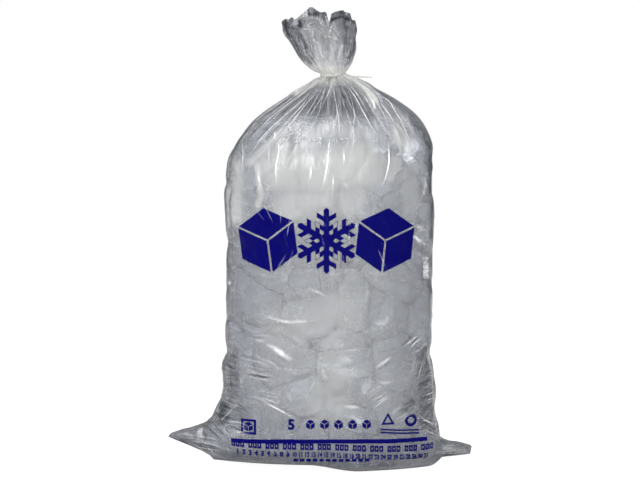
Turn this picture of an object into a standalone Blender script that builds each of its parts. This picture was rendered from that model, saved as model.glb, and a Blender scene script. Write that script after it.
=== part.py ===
"""A tied bag of ice: a tube of clear film welded flat along its bottom edge, filled with lumps of ice,
gathered at the neck under a small nylon tie, with the spare film flaring out above it.

Metres, +Z up. The bag stands on z = 0, its printed front faces -Y, and the two corners of the weld
point along -X and +X. The origin is on the floor, midway between those corners.
"""

import itertools
import math
import random
from typing import NamedTuple

import bmesh
import bpy
import numpy as np
from mathutils import Euler, Matrix, Vector
from mathutils.geometry import points_in_planes

MM = 0.001

# Driving dimensions of the bag
FLAT_WIDTH = 300 * MM
MOUTH_HEIGHT = 426 * MM
LIP = 8 * MM
BODY_DEPTH = 152 * MM
NECK_HEIGHT = 375 * MM
NECK_RADIUS = 11.4 * MM
NECK_X = 12.9 * MM
WALL = 1.0 * MM
WELD_THICKNESS = 1.8 * MM
THROAT_RADIUS = 3.0 * MM

# Driving dimensions of the ice. ICE_SIZE is half a lump's width, as a share of the width of its own room.
ICE_LUMPS = 57
ICE_FLOOR = 3.0 * MM
ICE_TOP = 336 * MM
ICE_CLEARANCE = 2.5 * MM
ICE_TOUCHING_GAP = 0.5 * MM
ICE_SIZE = 0.469
ICE_SIZE_SPREAD = 0.05
ICE_CORNERS = (0.60, 0.74)
ICE_CORNER_MERGE = 2.5 * MM
ICE_SEED = 5
SETTLING_ROUNDS = 14
SETTLING_SAMPLES = 12000
WALL_PLANE_LEVELS = (-24 * MM, -8 * MM, 8 * MM, 24 * MM)
WALL_PLANES_ROUND = 24
SLOPE_STEP = 0.5 * MM
FLOOR_REACH = 0.8

# Driving dimensions of the tie
TIE_GAP = 0.4 * MM
TIE_THICKNESS = 1.1 * MM
TIE_WIDTH = 2.6 * MM
TIE_HEAD = (4.6 * MM, 3.8 * MM, 5.0 * MM)
TIE_TAIL_REACH = 51 * MM
TIE_SEGMENTS = 32

RING_POINTS = 52
MAIN_PLEATS = 11
FOLDS_ABOVE_TIE = 6

# How the base leaves the floor: towards each ear, and at the front left, where no ice presses it down
LEFT_EAR_START, LEFT_EAR_RISE = 90 * MM, 21 * MM
RIGHT_EAR_START, RIGHT_EAR_RISE = 104 * MM, 4 * MM
FRONT_SLACK = 6 * MM
LIFT_FADES = (16 * MM, 62 * MM)
EAR_SHARE = 0.8

HALF_FLAT = FLAT_WIDTH / 2
HALF_DEPTH = BODY_DEPTH / 2


class Section(NamedTuple):
    """One level section of the film: a superellipse from left to right, with pleats or folds round it."""

    left: float
    right: float
    depth: float
    squareness: float
    height: float
    pleats: float = 0.0
    folds: float = 0.0
    ear_left: float = 0.0
    ear_right: float = 0.0

    @property
    def middle(self):
        return (self.left + self.right) / 2

    @property
    def half_width(self):
        return (self.right - self.left) / 2

    def inset(self, wall):
        """The same section moved in by the film's thickness, with no ears."""
        inner = self._replace(left=self.left + wall, right=self.right - wall, depth=self.depth - wall)
        return inner._replace(ear_left=0.0, ear_right=0.0)

    def place(self, angle, swell):
        """(x, y) at this angle round from +X, with the plain section's reach times swell."""
        across, along, power = math.cos(angle), math.sin(angle), self.squareness
        reach = swell * (abs(across) ** power + abs(along) ** power) ** (-1 / power)
        return self.middle + self.half_width * across * reach, self.depth * along * reach

    def fullness(self, x, y):
        """How far out (x, y) is: 0 in the middle, 1 where the deepest pleat comes."""
        slack = 1 - self.pleats
        across = abs(x - self.middle) / (self.half_width * slack)
        along = abs(y) / (self.depth * slack)
        return (across**self.squareness + along**self.squareness) ** (1 / self.squareness)


def section_mm(left, right, depth, squareness, height, pleats=0.0, folds=0.0, ears=(0, 0)):
    """A Section from sizes in millimetres."""
    sizes = [size * MM for size in (left, right, depth)]
    return Section(*sizes, squareness, height * MM, pleats, folds, ears[0] * MM, ears[1] * MM)


def smoothstep(low, high, value):
    share = min(max((value - low) / (high - low), 0.0), 1.0)
    return share * share * (3 - 2 * share)


def floor_lift(x, y, height):
    """How far the film, and all that lies in it, is lifted at this place by the ears and the slack front."""
    left = LEFT_EAR_RISE * max((-x - LEFT_EAR_START) / (HALF_FLAT - LEFT_EAR_START), 0) ** 1.4
    right = RIGHT_EAR_RISE * max((x - RIGHT_EAR_START) / (HALF_FLAT - RIGHT_EAR_START), 0) ** 1.4
    front = FRONT_SLACK * smoothstep(-45 * MM, 85 * MM, -x) * smoothstep(8 * MM, 56 * MM, -y)
    return max(left + right, front) * (1 - smoothstep(*LIFT_FADES, height))


def base_sections():
    """From the weld's line under the bag, over the flat base and round the heel. Their ends are the ears."""
    half = HALF_FLAT / MM
    weld = WELD_THICKNESS / MM / 2
    return [
        section_mm(-half, half, weld, 2.0, 0),
        section_mm(-148, 149, 14, 1.5, 0, ears=(4, 8)),
        section_mm(-141, 144, 42, 1.6, 0, ears=(10, 11)),
        section_mm(-130, 134, 64, 1.9, 0, ears=(17, 13)),
        section_mm(-120, 125, 71.5, 2.3, 3.5, ears=(20, 12)),
        section_mm(-112, 118, 75, 2.6, 13, ears=(17, 10)),
    ]


def wall_sections():
    """The body, which the ice presses to its flat front and rounded sides, with a slack waist low down."""
    return [
        section_mm(-108.5, 115.5, HALF_DEPTH / MM, 2.8, 30, 0.004, ears=(6, 3)),
        section_mm(-103, 112.5, 75.5, 3.0, 52, 0.008),
        section_mm(-95.6, 111.2, 75, 3.0, 74, 0.008),
        section_mm(-96.0, 108.6, 74, 3.0, 96, 0.010),
        section_mm(-90.6, 107.3, 73, 3.0, 111, 0.008),
        section_mm(-93.4, 110.0, 75, 3.0, 150, 0.004),
        section_mm(-91.4, 110.6, 75.5, 3.0, 212, 0.003),
        section_mm(-92.8, 111.2, 75.5, 3.0, 262, 0.004),
        section_mm(-91.0, 111.5, 74.5, 2.8, 289, 0.006),
    ]


def shoulder_sections():
    """Drawn in from the body to the neck, with the spare film in pleats that run to the tie."""
    return [
        section_mm(-84.5, 109.8, 71.5, 2.6, 307, 0.012),
        section_mm(-74.5, 103.5, 65.5, 2.4, 323, 0.025),
        section_mm(-59.5, 92.0, 56.5, 2.3, 338, 0.045),
        section_mm(-39.7, 74.0, 43.5, 2.1, 352, 0.070),
        section_mm(-20.5, 52.5, 27.5, 2.0, 364, 0.085),
        section_mm(-3.0, 31.5, 15.0, 2.0, 371.5, 0.050),
    ]


def neck_sections(radius):
    """A plain round stretch as long as the tie is wide, with a little to spare."""
    return [
        Section(NECK_X - radius, NECK_X + radius, radius, 2.0, height)
        for height in (NECK_HEIGHT - 1.5 * MM, NECK_HEIGHT + 3.5 * MM)
    ]


def flare_sections():
    """The spare film above the tie: a flattened fan of deep folds that leans a little to the left."""
    return [
        section_mm(-8.0, 26.0, 14.0, 2.0, 382.0, 0.02, 0.06),
        section_mm(-17.5, 29.5, 17.0, 2.0, 391.0, 0.02, 0.14),
        section_mm(-23.5, 30.5, 19.0, 2.0, 402.0, 0.02, 0.20),
        section_mm(-28.7, 29.7, 21.0, 2.0, 414.0, 0.02, 0.22),
        section_mm(-31.5, 28.6, 22.0, 2.0, MOUTH_HEIGHT / MM, 0.02, 0.24),
    ]


def pleat_wave(angle):
    """Uneven pleats round the section, between -1 and 1."""
    main = math.cos(MAIN_PLEATS * angle + 1.4 * math.sin(angle))
    minor = math.cos((MAIN_PLEATS + 5) * angle + 2.1)
    return 0.65 * main + 0.35 * minor


def fold_wave(angle):
    """The deeper, fewer folds of the film above the tie, between -1 and 1."""
    main = math.cos(FOLDS_ABOVE_TIE * angle + 0.9 * math.sin(2 * angle) + 0.4)
    minor = math.cos((FOLDS_ABOVE_TIE - 2) * angle - 1.1)
    return 0.7 * main + 0.3 * minor


def mouth_rise(angle):
    """How far the uneven mouth of the bag stands above or below its mean height."""
    waves = ((3.4, 3, 0.5), (2.6, 5, -1.0), (1.6, 9, 0.0))
    return sum(size * math.sin(count * angle + start) for size, count, start in waves) * MM


def section_points(section, mouth=False):
    """The section's points, round from +X by +Y."""
    points = []
    for index in range(RING_POINTS):
        angle = 2 * math.pi * index / RING_POINTS
        swell = 1 + section.pleats * pleat_wave(angle) + section.folds * fold_wave(angle)
        x, y = section.place(angle, swell)
        ear = section.ear_right if math.cos(angle) > 0 else section.ear_left
        height = section.height + ear * smoothstep(EAR_SHARE, 1.0, abs(math.cos(angle)))
        height += floor_lift(x, y, section.height)
        if mouth:
            height += mouth_rise(angle)
        points.append(Vector((x, y, height)))
    return points


def loft(name, rings):
    """A closed mesh through rings of equal point counts. The first ring is a slit, closed along its line."""
    shape = bmesh.new()
    rings = [[shape.verts.new(point) for point in ring] for ring in rings]
    for lower, upper in zip(rings, rings[1:]):
        for index in range(RING_POINTS):
            after = (index + 1) % RING_POINTS
            shape.faces.new((lower[index], lower[after], upper[after], upper[index]))
    slit, top = rings[0], rings[-1]
    half = RING_POINTS // 2
    shape.faces.new((slit[0], slit[-1], slit[1]))
    for index in range(1, half - 1):
        shape.faces.new((slit[index], slit[-index], slit[-index - 1], slit[index + 1]))
    shape.faces.new((slit[half - 1], slit[half + 1], slit[half]))
    cap = shape.verts.new(sum((vert.co for vert in top), Vector()) / RING_POINTS)
    for index in range(RING_POINTS):
        shape.faces.new((top[index], top[(index + 1) % RING_POINTS], cap))
    bmesh.ops.recalc_face_normals(shape, faces=shape.faces)
    mesh = bpy.data.meshes.new(name)
    shape.to_mesh(mesh)
    shape.free()
    return mesh


def outer_rings():
    """The outside of the film, from its weld to its mouth."""
    sections = base_sections() + wall_sections() + shoulder_sections()
    sections += neck_sections(NECK_RADIUS) + flare_sections()
    lip = sections[-1]._replace(height=MOUTH_HEIGHT + LIP)
    return [section_points(section) for section in sections] + [section_points(lip, mouth=True)]


def room_sections():
    """The room for the ice: flat below, a film's thickness inside the walls, and drawn in under the neck."""
    base = [
        section_mm(-96, 104, 1.0, 2.0, 1.2),
        section_mm(-97, 105, 40, 2.0, 1.2),
        section_mm(-98, 107, 62, 2.3, 1.2),
        section_mm(-102, 112, 70.5, 2.6, 4.5),
        section_mm(-102, 113, 73.5, 2.7, 13),
    ]
    walls = [section.inset(WALL) for section in wall_sections()]
    shoulder = [section.inset(1.6 * WALL) for section in shoulder_sections()[:4]]
    return base + walls + shoulder


def inner_rings():
    """The inside of the film: the ice's room, a throat through the gathered neck, and open folds above."""
    under_neck = section_mm(0, 26, 13, 2.0, 361)
    throat = neck_sections(THROAT_RADIUS)
    flare = [section.inset(2 * WALL) for section in flare_sections()[1:]]
    past_mouth = flare[-1]._replace(height=MOUTH_HEIGHT + 3 * LIP)
    sections = room_sections() + [under_neck] + throat + flare + [past_mouth]
    return [section_points(section) for section in sections]


def section_at(sections, height):
    """The section at this height, between the two that are given nearest to it."""
    for lower, upper in zip(sections, sections[1:]):
        if lower.height <= height <= upper.height:
            share = (height - lower.height) / (upper.height - lower.height)
            return Section(*[(1 - share) * a + share * b for a, b in zip(lower, upper)])
    return sections[0] if height < sections[0].height else sections[-1]


def fullness(sections, place):
    """How far out this place is: 0 in the middle of the room, 1 at its wall, with the lift counted."""
    return section_at(sections, place.z - floor_lift(*place)).fullness(place.x, place.y)


def outward_at(sections, place):
    """The film's outward direction at a place on it, by small steps along each axis."""
    steps = [Vector([SLOPE_STEP if axis == k else 0 for k in range(3)]) for axis in range(3)]
    slope = [fullness(sections, place + step) - fullness(sections, place - step) for step in steps]
    return Vector(slope).normalized()


def wall_planes(sections, height):
    """Planes that touch the film from inside, all the way round, at levels about this height."""
    planes = []
    for rise in WALL_PLANE_LEVELS:
        level = min(max(height + rise, ICE_FLOOR), ICE_TOP)
        section = section_at(sections, level)
        for index in range(WALL_PLANES_ROUND):
            x, y = section.place(2 * math.pi * index / WALL_PLANES_ROUND, 1 - section.pleats)
            place = Vector((x, y, level + floor_lift(x, y, level)))
            outward = outward_at(sections, place)
            planes.append((outward, place - outward * ICE_CLEARANCE))
    return planes


def settled_sites(sections, dice):
    """Where the lumps come to rest: evenly spread points, each in the middle of its share of the room."""
    samples = []
    while len(samples) < SETTLING_SAMPLES:
        x = dice.uniform(-HALF_FLAT, HALF_FLAT)
        y = dice.uniform(-HALF_DEPTH, HALF_DEPTH)
        place = Vector((x, y, dice.uniform(ICE_FLOOR, ICE_TOP)))
        if fullness(sections, place) < 0.97:
            samples.append(place)
    cloud = np.array(samples)
    sites = cloud[:ICE_LUMPS].copy()
    for _ in range(SETTLING_ROUNDS):
        distance = ((cloud[:, None, :] - sites[None, :, :]) ** 2).sum(axis=2)
        nearest = distance.argmin(axis=1)
        sites = np.array([cloud[nearest == index].mean(axis=0) for index in range(ICE_LUMPS)])
    share = np.bincount(nearest, minlength=ICE_LUMPS) / len(cloud)
    return [Vector(site) for site in sites], share


def plane_of(outward, point):
    return Vector((outward.x, outward.y, outward.z, -outward.dot(point)))


def lump_planes(index, sites, size, sections, dice):
    """The flat faces that bound one lump: its own rough cube, its neighbours, the film and the floor."""
    site = sites[index]
    turn = Euler([dice.uniform(0, math.pi / 2) for _ in range(3)]).to_matrix()
    planes = []
    for axis in range(3):
        for sign in (-1, 1):
            direction = turn.col[axis] * sign
            half = size * (ICE_SIZE + dice.uniform(-ICE_SIZE_SPREAD, ICE_SIZE_SPREAD))
            planes.append(plane_of(direction, site + direction * half))
    for signs in itertools.product((-1, 1), repeat=3):
        corner = (turn @ Vector(signs)).normalized()
        planes.append(plane_of(corner, site + corner * size * dice.uniform(*ICE_CORNERS)))
    for other in sites[:index] + sites[index + 1 :]:
        between = other - site
        if between.length < 2.2 * size:
            direction = between.normalized()
            planes.append(plane_of(direction, site + between / 2 - direction * ICE_TOUCHING_GAP / 2))
    for outward, point in wall_planes(sections, site.z):
        if (point - site).length < 1.6 * size:
            planes.append(plane_of(outward, point))
    reach = FLOOR_REACH * size
    lifts = [floor_lift(site.x + dx, site.y + dy, 0) for dx in (-reach, reach) for dy in (-reach, reach)]
    planes.append(plane_of(Vector((0, 0, -1)), Vector((0, 0, ICE_FLOOR + max(lifts)))))
    planes.append(plane_of(Vector((0, 0, 1)), Vector((0, 0, ICE_TOP))))
    return planes


def room_volume(sections):
    """The room's volume up to the top of the ice, by level slices."""
    slices = 60
    step = (ICE_TOP - ICE_FLOOR) / slices
    total = 0.0
    for index in range(slices):
        section = section_at(sections, ICE_FLOOR + (index + 0.5) * step)
        roundness = math.gamma(1 + 1 / section.squareness) ** 2 / math.gamma(1 + 2 / section.squareness)
        total += 4 * section.half_width * section.depth * roundness * step
    return total


def convex_solid(name, corners):
    """The closed convex mesh round these corners, with corners that nearly meet joined."""
    shape = bmesh.new()
    for corner in corners:
        shape.verts.new(corner)
    bmesh.ops.remove_doubles(shape, verts=shape.verts, dist=ICE_CORNER_MERGE)
    hull = bmesh.ops.convex_hull(shape, input=shape.verts, use_existing_faces=False)
    inside = [item for item in hull["geom_interior"] if isinstance(item, bmesh.types.BMVert)]
    bmesh.ops.delete(shape, geom=inside, context="VERTS")
    bmesh.ops.recalc_face_normals(shape, faces=shape.faces)
    mesh = bpy.data.meshes.new(name)
    shape.to_mesh(mesh)
    shape.free()
    return mesh


def make_lumps(collection, material):
    """The lumps that fill the bag to just below its shoulders, each close to its neighbours."""
    dice = random.Random(ICE_SEED)
    sections = [section for section in room_sections() if section.depth > HALF_DEPTH / 2][1:]
    sites, shares = settled_sites(sections, dice)
    room = room_volume(sections)
    order = sorted(range(ICE_LUMPS), key=lambda index: sites[index].z)
    for number, index in enumerate(order, start=1):
        size = (room * shares[index]) ** (1 / 3)
        corners, _ = points_in_planes(lump_planes(index, sites, size, sections, dice))
        name = f"ice_lump_{number:02d}"
        lump = bpy.data.objects.new(name, convex_solid(name, corners))
        lump.data.materials.append(material)
        collection.objects.link(lump)


def make_film(collection, cutters, material):
    """The bag: its outer form with the room for the ice cut out of it."""
    film = bpy.data.objects.new("bag_film", loft("bag_film", outer_rings()))
    film.data.materials.append(material)
    film.data.shade_smooth()
    collection.objects.link(film)
    room = bpy.data.objects.new("bag_room", loft("bag_room", inner_rings()))
    room.hide_render = True
    room.display_type = "WIRE"
    cutters.objects.link(room)
    cut = film.modifiers.new("room inside", "BOOLEAN")
    cut.operation = "DIFFERENCE"
    cut.object = room


def new_box(name, low, high):
    shape = bmesh.new()
    bmesh.ops.create_cube(shape, size=1)
    size = Vector(high) - Vector(low)
    middle = (Vector(high) + Vector(low)) / 2
    spread = Matrix.Translation(middle) @ Matrix.Diagonal((*size, 1))
    bmesh.ops.transform(shape, matrix=spread, verts=shape.verts)
    mesh = bpy.data.meshes.new(name)
    shape.to_mesh(mesh)
    shape.free()
    return bpy.data.objects.new(name, mesh)


def new_cylinder(name, radius, height):
    shape = bmesh.new()
    bmesh.ops.create_cone(
        shape, cap_ends=True, segments=TIE_SEGMENTS, radius1=radius, radius2=radius, depth=height
    )
    mesh = bpy.data.meshes.new(name)
    shape.to_mesh(mesh)
    shape.free()
    return bpy.data.objects.new(name, mesh)


def make_tie(collection, cutters, material):
    """A small nylon tie round the neck. Its head sits at the back, and its tail sticks out to the right."""
    inner = NECK_RADIUS + TIE_GAP
    outer = inner + TIE_THICKNESS
    height = NECK_HEIGHT + 1 * MM
    tie = new_cylinder("neck_tie", outer, TIE_WIDTH)
    tie.location = (NECK_X, 0, height)
    tie.data.materials.append(material)
    collection.objects.link(tie)
    hole = new_cylinder("tie_hole", inner, 4 * TIE_WIDTH)
    hole.location = tie.location
    head_long, head_thick, head_high = TIE_HEAD
    back = inner + TIE_THICKNESS / 4
    head = new_box(
        "tie_head",
        (NECK_X - head_long / 2, back, height - head_high / 2),
        (NECK_X + head_long / 2, back + head_thick, height + head_high / 2),
    )
    tail_middle = back + head_thick / 2
    tail = new_box(
        "tie_tail",
        (NECK_X, tail_middle - TIE_THICKNESS / 2, height - TIE_WIDTH / 2),
        (TIE_TAIL_REACH, tail_middle + TIE_THICKNESS / 2, height + TIE_WIDTH / 2),
    )
    for helper, operation in ((hole, "DIFFERENCE"), (head, "UNION"), (tail, "UNION")):
        helper.hide_render = True
        helper.display_type = "WIRE"
        cutters.objects.link(helper)
        change = tie.modifiers.new(helper.name, "BOOLEAN")
        change.operation = operation
        change.object = helper


def new_material(name, colour, roughness, transmission):
    material = bpy.data.materials.new(name)
    material.use_nodes = True
    shader = material.node_tree.nodes["Principled BSDF"]
    shader.inputs["Base Color"].default_value = (*colour, 1)
    shader.inputs["Roughness"].default_value = roughness
    shader.inputs["Metallic"].default_value = 0.0
    shader.inputs["Transmission Weight"].default_value = transmission
    return material


def main():
    for item in list(bpy.data.objects):
        bpy.data.objects.remove(item)
    bag = bpy.data.collections.new("bag_of_ice")
    cutters = bpy.data.collections.new("cutters")
    bpy.context.scene.collection.children.link(bag)
    bpy.context.scene.collection.children.link(cutters)
    film = new_material("clear_film", (0.78, 0.80, 0.82), 0.25, 0.8)
    ice = new_material("cloudy_ice", (0.86, 0.88, 0.91), 0.3, 0.7)
    nylon = new_material("natural_nylon", (0.85, 0.85, 0.80), 0.4, 0.3)
    make_film(bag, cutters, film)
    make_lumps(bag, ice)
    make_tie(bag, cutters, nylon)


main()
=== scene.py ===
import math
import random

import bmesh
import bpy
import numpy as np
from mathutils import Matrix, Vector, noise
from mathutils.bvhtree import BVHTree
from mathutils.geometry import delaunay_2d_cdt


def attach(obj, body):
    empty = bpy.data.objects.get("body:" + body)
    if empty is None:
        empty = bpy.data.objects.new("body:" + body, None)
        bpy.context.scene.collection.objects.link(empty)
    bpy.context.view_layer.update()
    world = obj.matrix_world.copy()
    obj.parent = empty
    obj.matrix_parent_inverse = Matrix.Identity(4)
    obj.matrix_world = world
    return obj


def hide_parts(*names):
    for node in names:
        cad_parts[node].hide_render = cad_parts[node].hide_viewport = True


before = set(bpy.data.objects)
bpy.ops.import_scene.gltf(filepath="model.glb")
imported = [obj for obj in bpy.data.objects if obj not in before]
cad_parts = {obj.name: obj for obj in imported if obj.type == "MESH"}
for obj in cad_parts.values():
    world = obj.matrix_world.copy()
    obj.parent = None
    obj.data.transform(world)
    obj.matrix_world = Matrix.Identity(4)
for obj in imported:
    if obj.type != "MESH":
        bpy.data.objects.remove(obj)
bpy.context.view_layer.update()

MM = 0.001
SEED = 20

# The bag's own sizes, in millimetres
HALF_FLAT = 150
NECK_HEIGHT = 375
NECK_RADIUS = 11.4
NECK_X = 12.9
MOUTH_HEIGHT = 426
LEFT_EAR_START, LEFT_EAR_RISE = 90, 21
RIGHT_EAR_START, RIGHT_EAR_RISE = 104, 4
LEFT_EAR_CURVE, RIGHT_EAR_CURVE = 1.25, 1.4
FRONT_SLACK = 6.5
SLACK_FROM_MIDDLE, SLACK_FROM_BACK = (-38, 12), (2, 42)
CORNER_RISE, CORNER_X, CORNER_WIDTH = 4.5, -107, 8
CORNER_FROM_BACK = (5, 40)
LIFT_FADES = (16, 62)
EAR_SHARE = 0.8
MAIN_PLEATS = 11
FOLDS_ABOVE_TIE = 6

# Level sections of the film: left, right, half depth, squareness, height, pleats, folds, left ear, right ear
BASE = [
    (-150, 148.5, 0.9, 2.0, 0.0, 0, 0, 0, 0),
    (-148, 150, 14, 1.5, 0.0, 0, 0, 4, 7),
    (-141, 144, 42, 1.6, 0.0, 0, 0, 10, 11),
    (-130, 134, 64, 1.9, 0.0, 0, 0, 17, 13),
    (-120, 125, 71.5, 2.3, 3.5, 0, 0, 20, 12),
    (-112, 118, 75, 2.6, 13, 0, 0, 17, 10),
]
WALLS = [
    (-108.5, 118.0, 76, 2.8, 30, 0.004, 0, 6, 3),
    (-103, 114.0, 75.5, 3.0, 52, 0.008, 0, 0, 0),
    (-97.0, 115.0, 75, 3.0, 74, 0.008, 0, 0, 0),
    (-98.5, 112.5, 74, 3.0, 96, 0.010, 0, 0, 0),
    (-92.5, 109.5, 73, 3.0, 111, 0.008, 0, 0, 0),
    (-93.4, 110.0, 75, 3.0, 150, 0.004, 0, 0, 0),
    (-91.4, 110.6, 75.5, 3.0, 212, 0.003, 0, 0, 0),
    (-92.8, 111.2, 75.5, 3.0, 262, 0.004, 0, 0, 0),
    (-91.0, 111.5, 74.5, 2.8, 289, 0.006, 0, 0, 0),
]
SHOULDER = [
    (-84.5, 109.8, 71.5, 2.6, 307, 0.012, 0, 0, 0),
    (-73.0, 103.5, 65.5, 2.4, 323, 0.025, 0, 0, 0),
    (-56.5, 92.0, 56.5, 2.3, 338, 0.045, 0, 0, 0),
    (-36.0, 74.0, 43.5, 2.1, 352, 0.070, 0, 0, 0),
    (-17.5, 53.0, 27.5, 2.0, 364, 0.085, 0, 0, 0),
    (-3.0, 31.5, 15.0, 2.0, 371.5, 0.050, 0, 0, 0),
]
NECK = [
    (NECK_X - NECK_RADIUS, NECK_X + NECK_RADIUS, NECK_RADIUS, 2.0, NECK_HEIGHT - 1.5, 0, 0, 0, 0),
    (NECK_X - NECK_RADIUS, NECK_X + NECK_RADIUS, NECK_RADIUS, 2.0, NECK_HEIGHT + 3.5, 0, 0, 0, 0),
]
FLARE = [
    (-8.0, 26.0, 14.0, 2.0, 382.0, 0.02, 0.06, 0, 0),
    (-16.0, 29.5, 17.0, 2.0, 391.0, 0.02, 0.14, 0, 0),
    (-21.0, 30.5, 19.0, 2.0, 402.0, 0.02, 0.20, 0, 0),
    (-25.5, 29.7, 21.0, 2.0, 414.0, 0.02, 0.22, 0, 0),
    (-31.5, 28.6, 22.0, 2.0, MOUTH_HEIGHT, 0.02, 0.24, 0, 0),
    (-31.5, 28.6, 22.0, 2.0, MOUTH_HEIGHT + 8, 0.02, 0.24, 0, 0),
]
SECTIONS = np.array(BASE + WALLS + SHOULDER + NECK + FLARE)
LEFT, RIGHT, DEPTH, SQUARENESS, HEIGHT, PLEATS, FOLDS, EAR_LEFT, EAR_RIGHT = range(9)

# The film's grid: rows up to each of these sections, and columns round it, closer together on the front
ROWS_TO_SECTION = ((4, 17), (6, 14), (14, 146), (20, 48), (22, 9), (28, 34))
ALL_ROWS = (0, sum(count for section, count in ROWS_TO_SECTION))
COLUMNS = 366
FRONT_SHARE = 0.55
ROW_WIDTH_SHARE = 0.3
TURN_SAMPLES = 4000
BLUR_ROUNDS = 3

# The ragged mouth, as seen from the front: x and height
MOUTH_EDGE = [
    (-37, 429), (-33, 431), (-30, 430), (-27, 432), (-24, 429), (-21, 431), (-15, 436.5), (-12.7, 438),
    (-10, 441), (-7, 441), (-4, 438.5), (0, 436), (5.9, 436), (8, 428), (9, 426), (10.8, 434), (14, 436),
    (20, 437.5), (23.5, 437.5), (29, 436), (31, 430), (34, 429.5), (36, 428),
]

# The photograph's camera
CAMERA_AIM = Vector((0, 0, 0.216))
CAMERA_DISTANCE = 1.5
CAMERA_ELEVATION = math.radians(4)
FOCAL_LENGTH_PX = 1530.6
PHOTO_WIDTH, PHOTO_HEIGHT = 640, 480
SENSOR_WIDTH = 36


def smoothstep(low, high, value):
    """From 0 at low to 1 at high, level at both."""
    share = np.clip((value - low) / (high - low), 0, 1)
    return share * share * (3 - 2 * share)


def smooth_through(knots, values, places):
    """A smooth curve through values at knots that never swings past them, read at places."""
    slopes = np.diff(values, axis=0) / np.diff(knots)[:, None]
    before, after = slopes[:-1], slopes[1:]
    same_way = before * after > 0
    total = np.where(same_way, before + after, 1)
    inner = np.where(same_way, 2 * before * after / total, 0)
    tangents = np.vstack([slopes[:1], inner, slopes[-1:]])
    index = np.clip(np.searchsorted(knots, places, side="right") - 1, 0, len(knots) - 2)
    width = (knots[index + 1] - knots[index])[:, None]
    share = ((places - knots[index]) / width[:, 0])[:, None]
    rest = 1 - share
    start = values[index] * (1 + 2 * share) * rest**2 + tangents[index] * width * share * rest**2
    end = values[index + 1] * share**2 * (3 - 2 * share) - tangents[index + 1] * width * share**2 * rest
    return start + end


def blurred(field, rows, columns):
    """The field averaged over this many rows and columns each way, closing on itself round the bag."""
    for axis, reach in ((0, rows), (1, columns)):
        for _ in range(BLUR_ROUNDS):
            padding = [(0, 0), (0, 0)]
            padding[axis] = (reach, reach)
            padded = np.pad(field, padding, mode="edge" if axis == 0 else "wrap")
            windows = np.lib.stride_tricks.sliding_window_view(padded, 2 * reach + 1, axis=axis)
            field = windows.mean(axis=-1)
    return field


class FilmGrid:
    """The film as a grid of points: a row for each level, and columns round the bag from +X by +Y."""

    def __init__(self):
        widths = ROW_WIDTH_SHARE * SECTIONS[:, RIGHT]
        reach = np.column_stack([SECTIONS[:, DEPTH], SECTIONS[:, HEIGHT], widths])
        steps = np.linalg.norm(np.diff(reach, axis=0), axis=1)
        knots = np.concatenate([[0], np.cumsum(steps)])
        places, start = [], 0
        for section, count in ROWS_TO_SECTION:
            places.append(np.linspace(knots[start], knots[section], count, endpoint=False))
            start = section
        places = np.concatenate(places + [[knots[-1]]])
        self.levels = smooth_through(knots, SECTIONS, places)
        even = np.linspace(0, 2 * math.pi, TURN_SAMPLES)
        crowding = 1 + FRONT_SHARE * np.maximum(-np.sin(even), 0)
        turned = np.concatenate([[0], np.cumsum((crowding[1:] + crowding[:-1]) / 2)])
        self.angles = np.interp(np.arange(COLUMNS) / COLUMNS * turned[-1], turned, even)
        self.points = self.plain_points()

    def column(self, name):
        """One value of the sections, for each row of the grid."""
        return self.levels[:, name][:, None]

    def plain_points(self):
        """The bag's form before the ice and the wrinkles show through it, in millimetres."""
        across, along = np.cos(self.angles)[None, :], np.sin(self.angles)[None, :]
        power = self.column(SQUARENESS)
        reach = (abs(across) ** power + abs(along) ** power) ** (-1 / power)
        pleats = self.column(PLEATS) * pleat_wave(self.angles)[None, :]
        folds = self.column(FOLDS) * fold_wave(self.angles)[None, :]
        reach = reach * (1 + pleats + folds)
        middle = (self.column(LEFT) + self.column(RIGHT)) / 2
        half_width = (self.column(RIGHT) - self.column(LEFT)) / 2
        x = middle + half_width * across * reach
        y = self.column(DEPTH) * along * reach
        ear = np.where(across > 0, self.column(EAR_RIGHT), self.column(EAR_LEFT))
        z = self.column(HEIGHT) + ear * smoothstep(EAR_SHARE, 1.0, abs(across))
        z = z + floor_lift(x, y, self.column(HEIGHT))
        return np.stack([x, y, z], axis=-1)

    def faces(self):
        """Four-cornered faces between the rows and columns, facing out, and one that closes the weld."""
        found = [tuple(reversed(range(COLUMNS)))]
        for row in range(len(self.levels) - 1):
            low, high = row * COLUMNS, (row + 1) * COLUMNS
            for column in range(COLUMNS):
                after = (column + 1) % COLUMNS
                found.append((low + column, low + after, high + after, high + column))
        return found

    def tree(self):
        """A search tree over the film as it is now, in metres."""
        points = [Vector(point) for point in self.points.reshape(-1, 3) * MM]
        return BVHTree.FromPolygons(points, self.faces())

    def outward(self):
        """The film's outward direction at each point."""
        rise = np.gradient(self.points, axis=0)
        closed = np.concatenate([self.points[:, -1:], self.points, self.points[:, :1]], axis=1)
        turn = (closed[:, 2:] - closed[:, :-2]) / 2
        normal = np.cross(turn, rise)
        length = np.linalg.norm(normal, axis=-1, keepdims=True)
        return normal / np.maximum(length, 1e-9)


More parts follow.
